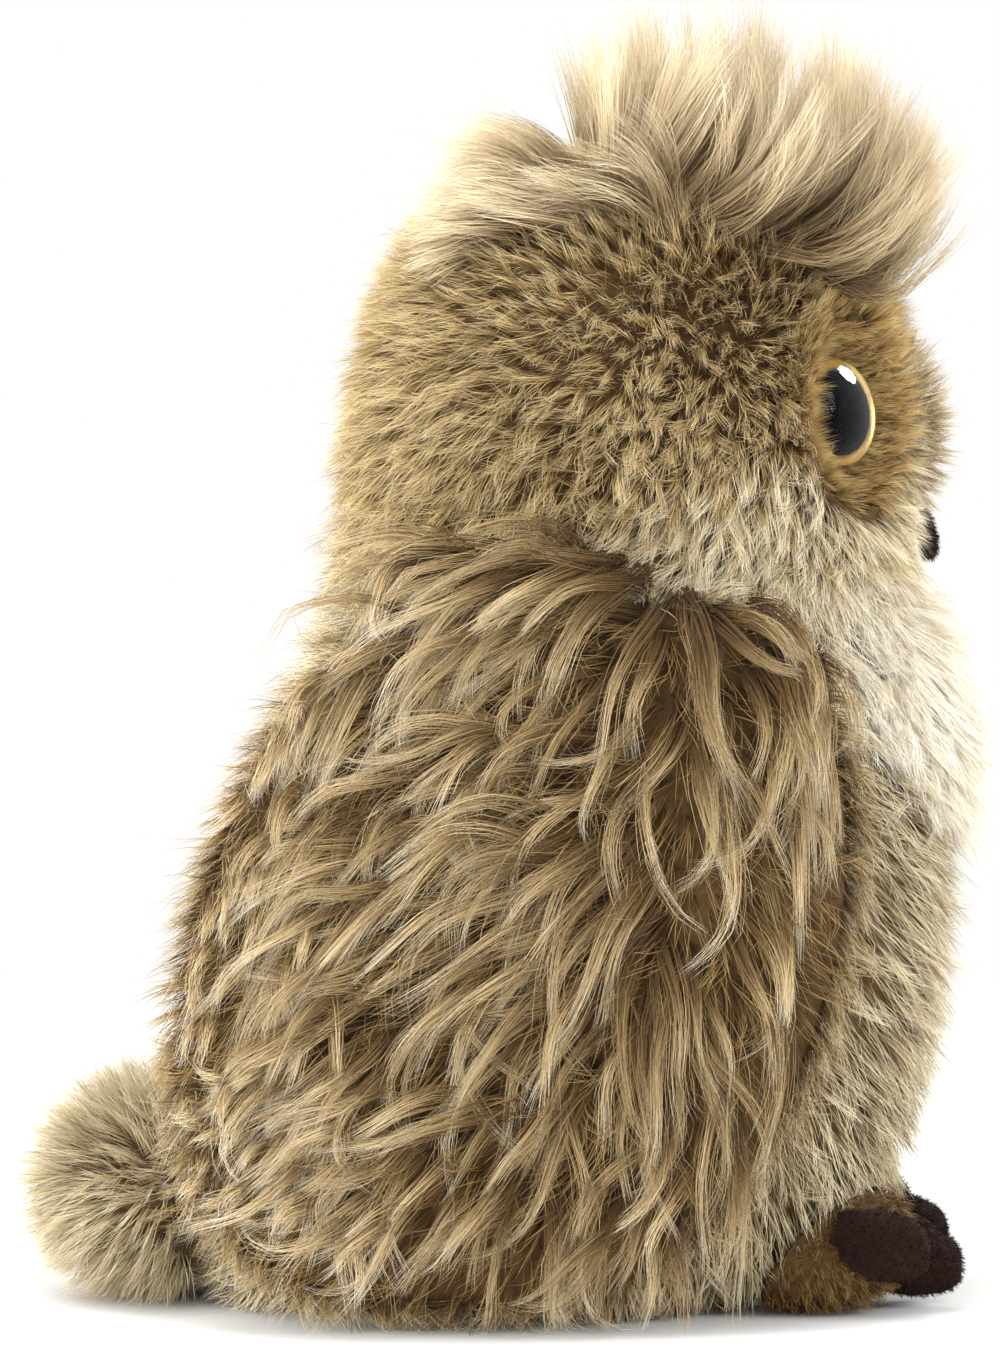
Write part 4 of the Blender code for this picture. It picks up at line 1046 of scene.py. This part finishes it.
for seed, (side, sign) in enumerate(sides.items()):
    body = f"wing_{side}"
    skin = loose(f"wing_{side}", f"wingSkin_{side}", 2.4 * mm, 3.0 * mm, backing)
    lining = loose(f"wing_lining_{side}", f"liningSkin_{side}", 1.0 * mm, 0, backing, 1)
    modifier(lining, "DECIMATE", ratio=0.25)  # it is nearly flat
    settle(lining)
    locks, facings, rng = wingLocks(side, sign, skin, 91 + seed)
    belong(skin, body, f"wing_{side}")
    belong(lining, body, f"wing_lining_{side}")
    belong(dress(f"wingLocks_{side}", locks, facings, wings, paints["blond"], rng, 0.6),
           body)
    belong(pile(f"wingUnder_{side}", skin, wingUnder, wingComb, paints["under"], 95 + seed,
                towards(sign, 0.2)), body)
    belong(pile(f"wingRim_{side}", skin, wingRim, rimComb, paints["blond"], 105 + seed,
                towards(sign, -0.75, 0.35)), body)
    belong(pile(f"liningPile_{side}", lining, liningPile, fuzzComb((0, 0.2, -1), 4 * mm),
                paints["olive"], 97 + seed, towards(-sign, 0.2)), body)
print("wings made")


# Eyes, and the pieces that stay from the frame.
def plainMaterial(name, base, rough, metallic=0.0, scale=900.0, depth=0.15, **sockets):
    made, wire = startMaterial(name)
    place = wire.node("ShaderNodeTexCoord", {}, {}, 3)
    grain = wire.node("ShaderNodeTexNoise", {}, {"Vector": place, "Scale": scale, "Detail": 3.0})
    tint = grain.blend(colour([v * 0.86 for v in base]), colour([min(1, v * 1.12) for v in base]))
    bump = wire.node("ShaderNodeBump", {}, {"Height": grain, "Strength": depth, "Distance": 0.0002})
    inputs = {"Base Color": tint, "Roughness": grain * 0.08 + (rough - 0.04), "Metallic": metallic,
              "Normal": bump}
    inputs.update({key.replace("_", " "): value for key, value in sockets.items()})
    endMaterial(wire, wire.node("ShaderNodeBsdfPrincipled", {}, inputs))
    return made


clear = plainMaterial("eyeLens", (1.0, 1.0, 1.0), 0.05, 0.0, 300.0, 0.0, Transmission_Weight=1.0,
                      IOR=1.45, Specular_Tint=colour((0.14, 0.14, 0.14)))
gold = plainMaterial("eyeGold", (0.80, 0.59, 0.22), 0.3, 1.0, 500.0, 0.1)
black = plainMaterial("eyeBlack", (0.003, 0.003, 0.004), 0.6, 0.0, 400.0, 0.05, Specular_IOR_Level=0.0)
whitePlastic = plainMaterial("washerPlastic", (0.72, 0.72, 0.70), 0.42)
fibre = plainMaterial("fibreFill", (0.82, 0.82, 0.80), 0.95, 0.0, 250.0, 1.0)
bagCloth = plainMaterial("bagCloth", (0.76, 0.75, 0.71), 0.9, 0.0, 700.0, 0.8)
baseCloth = plainMaterial("baseCloth", (0.055, 0.036, 0.018), 0.93, 0.0, 800.0, 1.0)
domeSeat, domeRim, domeRise = 2.3 * mm, 1.4 * mm, 5.0 * mm  # the dome's flat back lies on the paint
quarter = [math.pi / 2 * k / 14 for k in range(15)]
lensRun = [(eyes["radius"] * math.sin(a), domeSeat + domeRim + domeRise * math.cos(a)) for a in quarter]
lensRun += [(eyes["radius"], domeSeat), (0, domeSeat)]
ringRun = [(10.2 * mm, 2.42 * mm), (8.5 * mm, 2.5 * mm), (6.9 * mm, 2.4 * mm),
           (6.9 * mm, 1.8 * mm), (10.2 * mm, 1.8 * mm), (10.2 * mm, 2.42 * mm)]


def turned(name, run, side, paint):  # a run of radius and height, turned about an eye's axis
    centre, outward = axes[side]
    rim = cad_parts[f"eye_iris_{side}"].data.vertices
    seat = centre + outward * (min((v.co - centre).dot(outward) for v in rim) - 1.8 * mm)
    bm = bmesh.new()
    points = [bm.verts.new((radius, 0, height)) for radius, height in run]
    edges = [bm.edges.new(pair) for pair in zip(points, points[1:])]
    bmesh.ops.spin(bm, geom=points + edges, cent=(0, 0, 0), axis=(0, 0, 1), angle=math.tau, steps=72,
                   use_merge=True)
    bmesh.ops.remove_doubles(bm, verts=bm.verts, dist=1e-6)
    bmesh.ops.recalc_face_normals(bm, faces=bm.faces)
    turn = outward.to_track_quat("Z", "Y").to_matrix()
    bmesh.ops.rotate(bm, cent=(0, 0, 0), matrix=turn, verts=bm.verts)
    bmesh.ops.translate(bm, vec=seat, verts=bm.verts)
    return fromBmesh(name, inOrder(bm), paint)


kept = {"body_stuffing": fibre, "head_stuffing": fibre, "pellet_bag": bagCloth, "base_panel": baseCloth}
for side in sides:
    belong(turned(f"eyeDome_{side}", lensRun, side, clear), node=f"eye_lens_{side}")
    belong(turned(f"eyeRing_{side}", ringRun, side, gold), node=f"eye_iris_{side}")
    kept.update({f"eye_back_{side}": black, f"eye_washer_{side}": whitePlastic})
for node, paint in kept.items():
    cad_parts[node].data.materials.clear()
    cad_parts[node].data.materials.append(paint)
bpy.data.objects.remove(rootForm)
print("frame pieces painted")


# Floor, lights and camera.
def floorMaterial():  # pale near the owl, and white like the backdrop further off
    made, wire = startMaterial("paleFloor")
    place = wire.node("ShaderNodeTexCoord", {}, {}, 3)
    far = wire.node("ShaderNodeVectorMath", {"operation": "LENGTH"}, {0: place}, 1)
    fade = wire.node("ShaderNodeMapRange", {"interpolation_type": "SMOOTHSTEP"},
                     {"Value": far, "From Min": 0.25, "From Max": 0.75})
    plain = wire.node("ShaderNodeBsdfPrincipled", {}, {"Base Color": colour((0.90, 0.90, 0.89)),
                                                      "Roughness": 0.85})
    white = wire.node("ShaderNodeEmission", {}, {"Color": colour((1, 1, 1)), "Strength": 1.0})
    near = fade * seenDirectly(wire)
    endMaterial(wire, wire.node("ShaderNodeMixShader", {}, {0: near, 1: plain, 2: white}))
    return made


def seenDirectly(wire):  # 1 for the camera, and for what glass and metal show
    rays = wire.node("ShaderNodeLightPath").socket.node.outputs
    camera, glossy, through = (Wire(wire.tree, rays[name]) for name in
                               ("Is Camera Ray", "Is Glossy Ray", "Is Transmission Ray"))
    return wire.sum("MAXIMUM", wire.sum("MAXIMUM", camera, glossy), through)


bm = bmesh.new()
bmesh.ops.create_grid(bm, x_segments=1, y_segments=1, size=6)
floor = fromBmesh("floor", bm, floorMaterial())

world = bpy.data.worlds.new("studio")
bpy.context.scene.world = world
world.use_nodes = True
world.node_tree.nodes.clear()
sky = Wire(world.node_tree)
shine = sky.node("ShaderNodeBackground", {}, {"Color": colour((1, 1, 1)),
                                             "Strength": seenDirectly(sky) * 0.4 + 0.6})
sky.node("ShaderNodeOutputWorld", {}, {0: shine})

lamps = {
    "top": {"place": (-0.25, 0.10, 1.15), "size": 1.0, "power": 9.0},
    "frontFill": {"place": (-0.75, -0.95, 0.65), "size": 0.7, "power": 8.0},
    "backRim": {"place": (0.65, 0.85, 0.70), "size": 0.7, "power": 7.0},
    "faceRim": {"place": (0.55, -1.0, 0.55), "size": 0.6, "power": 6.0},
    "sideFill": {"place": (-1.25, 0.35, 0.55), "size": 0.9, "power": 6.0},
    "rearFill": {"place": (-0.75, 1.05, 0.40), "size": 0.7, "power": 11.5},
    "catchLight": {"place": (0.50, -0.86, 0.84), "size": 0.52, "power": 26.0},
}
for name, lamp in lamps.items():
    light = bpy.data.lights.new(name, "AREA")
    light.shape = "DISK"
    light.size = lamp["size"]
    light.energy = lamp["power"]
    holder = bpy.data.objects.new(name, light)
    bpy.context.scene.collection.objects.link(holder)
    holder.location = lamp["place"]
    holder.visible_diffuse = name != "catchLight"  # only the eyes show it
    holder.visible_glossy = name != "faceRim"
    holder.rotation_euler = (Vector((0, 0, 0.11)) - holder.location).to_track_quat("-Z", "Y").to_euler()

view = {"distance": 1.7, "rise": math.radians(3.0), "aim": (0, -0.001, 0.1235), "tall": 271.8 * mm}
camera = bpy.data.cameras.new("camera")
camera.sensor_fit = "VERTICAL"
camera.sensor_height = 36
camera.lens = 36 * view["distance"] / view["tall"]
camera.clip_end = 50
holder = bpy.data.objects.new("camera", camera)
bpy.context.scene.collection.objects.link(holder)
aim = Vector(view["aim"])
holder.location = aim + view["distance"] * Vector((-math.cos(view["rise"]), 0, math.sin(view["rise"])))
holder.rotation_euler = (aim - holder.location).to_track_quat("-Z", "Y").to_euler()
bpy.context.scene.camera = holder
bpy.context.scene.view_settings.view_transform = "Standard"
print("floor, lights and camera set")
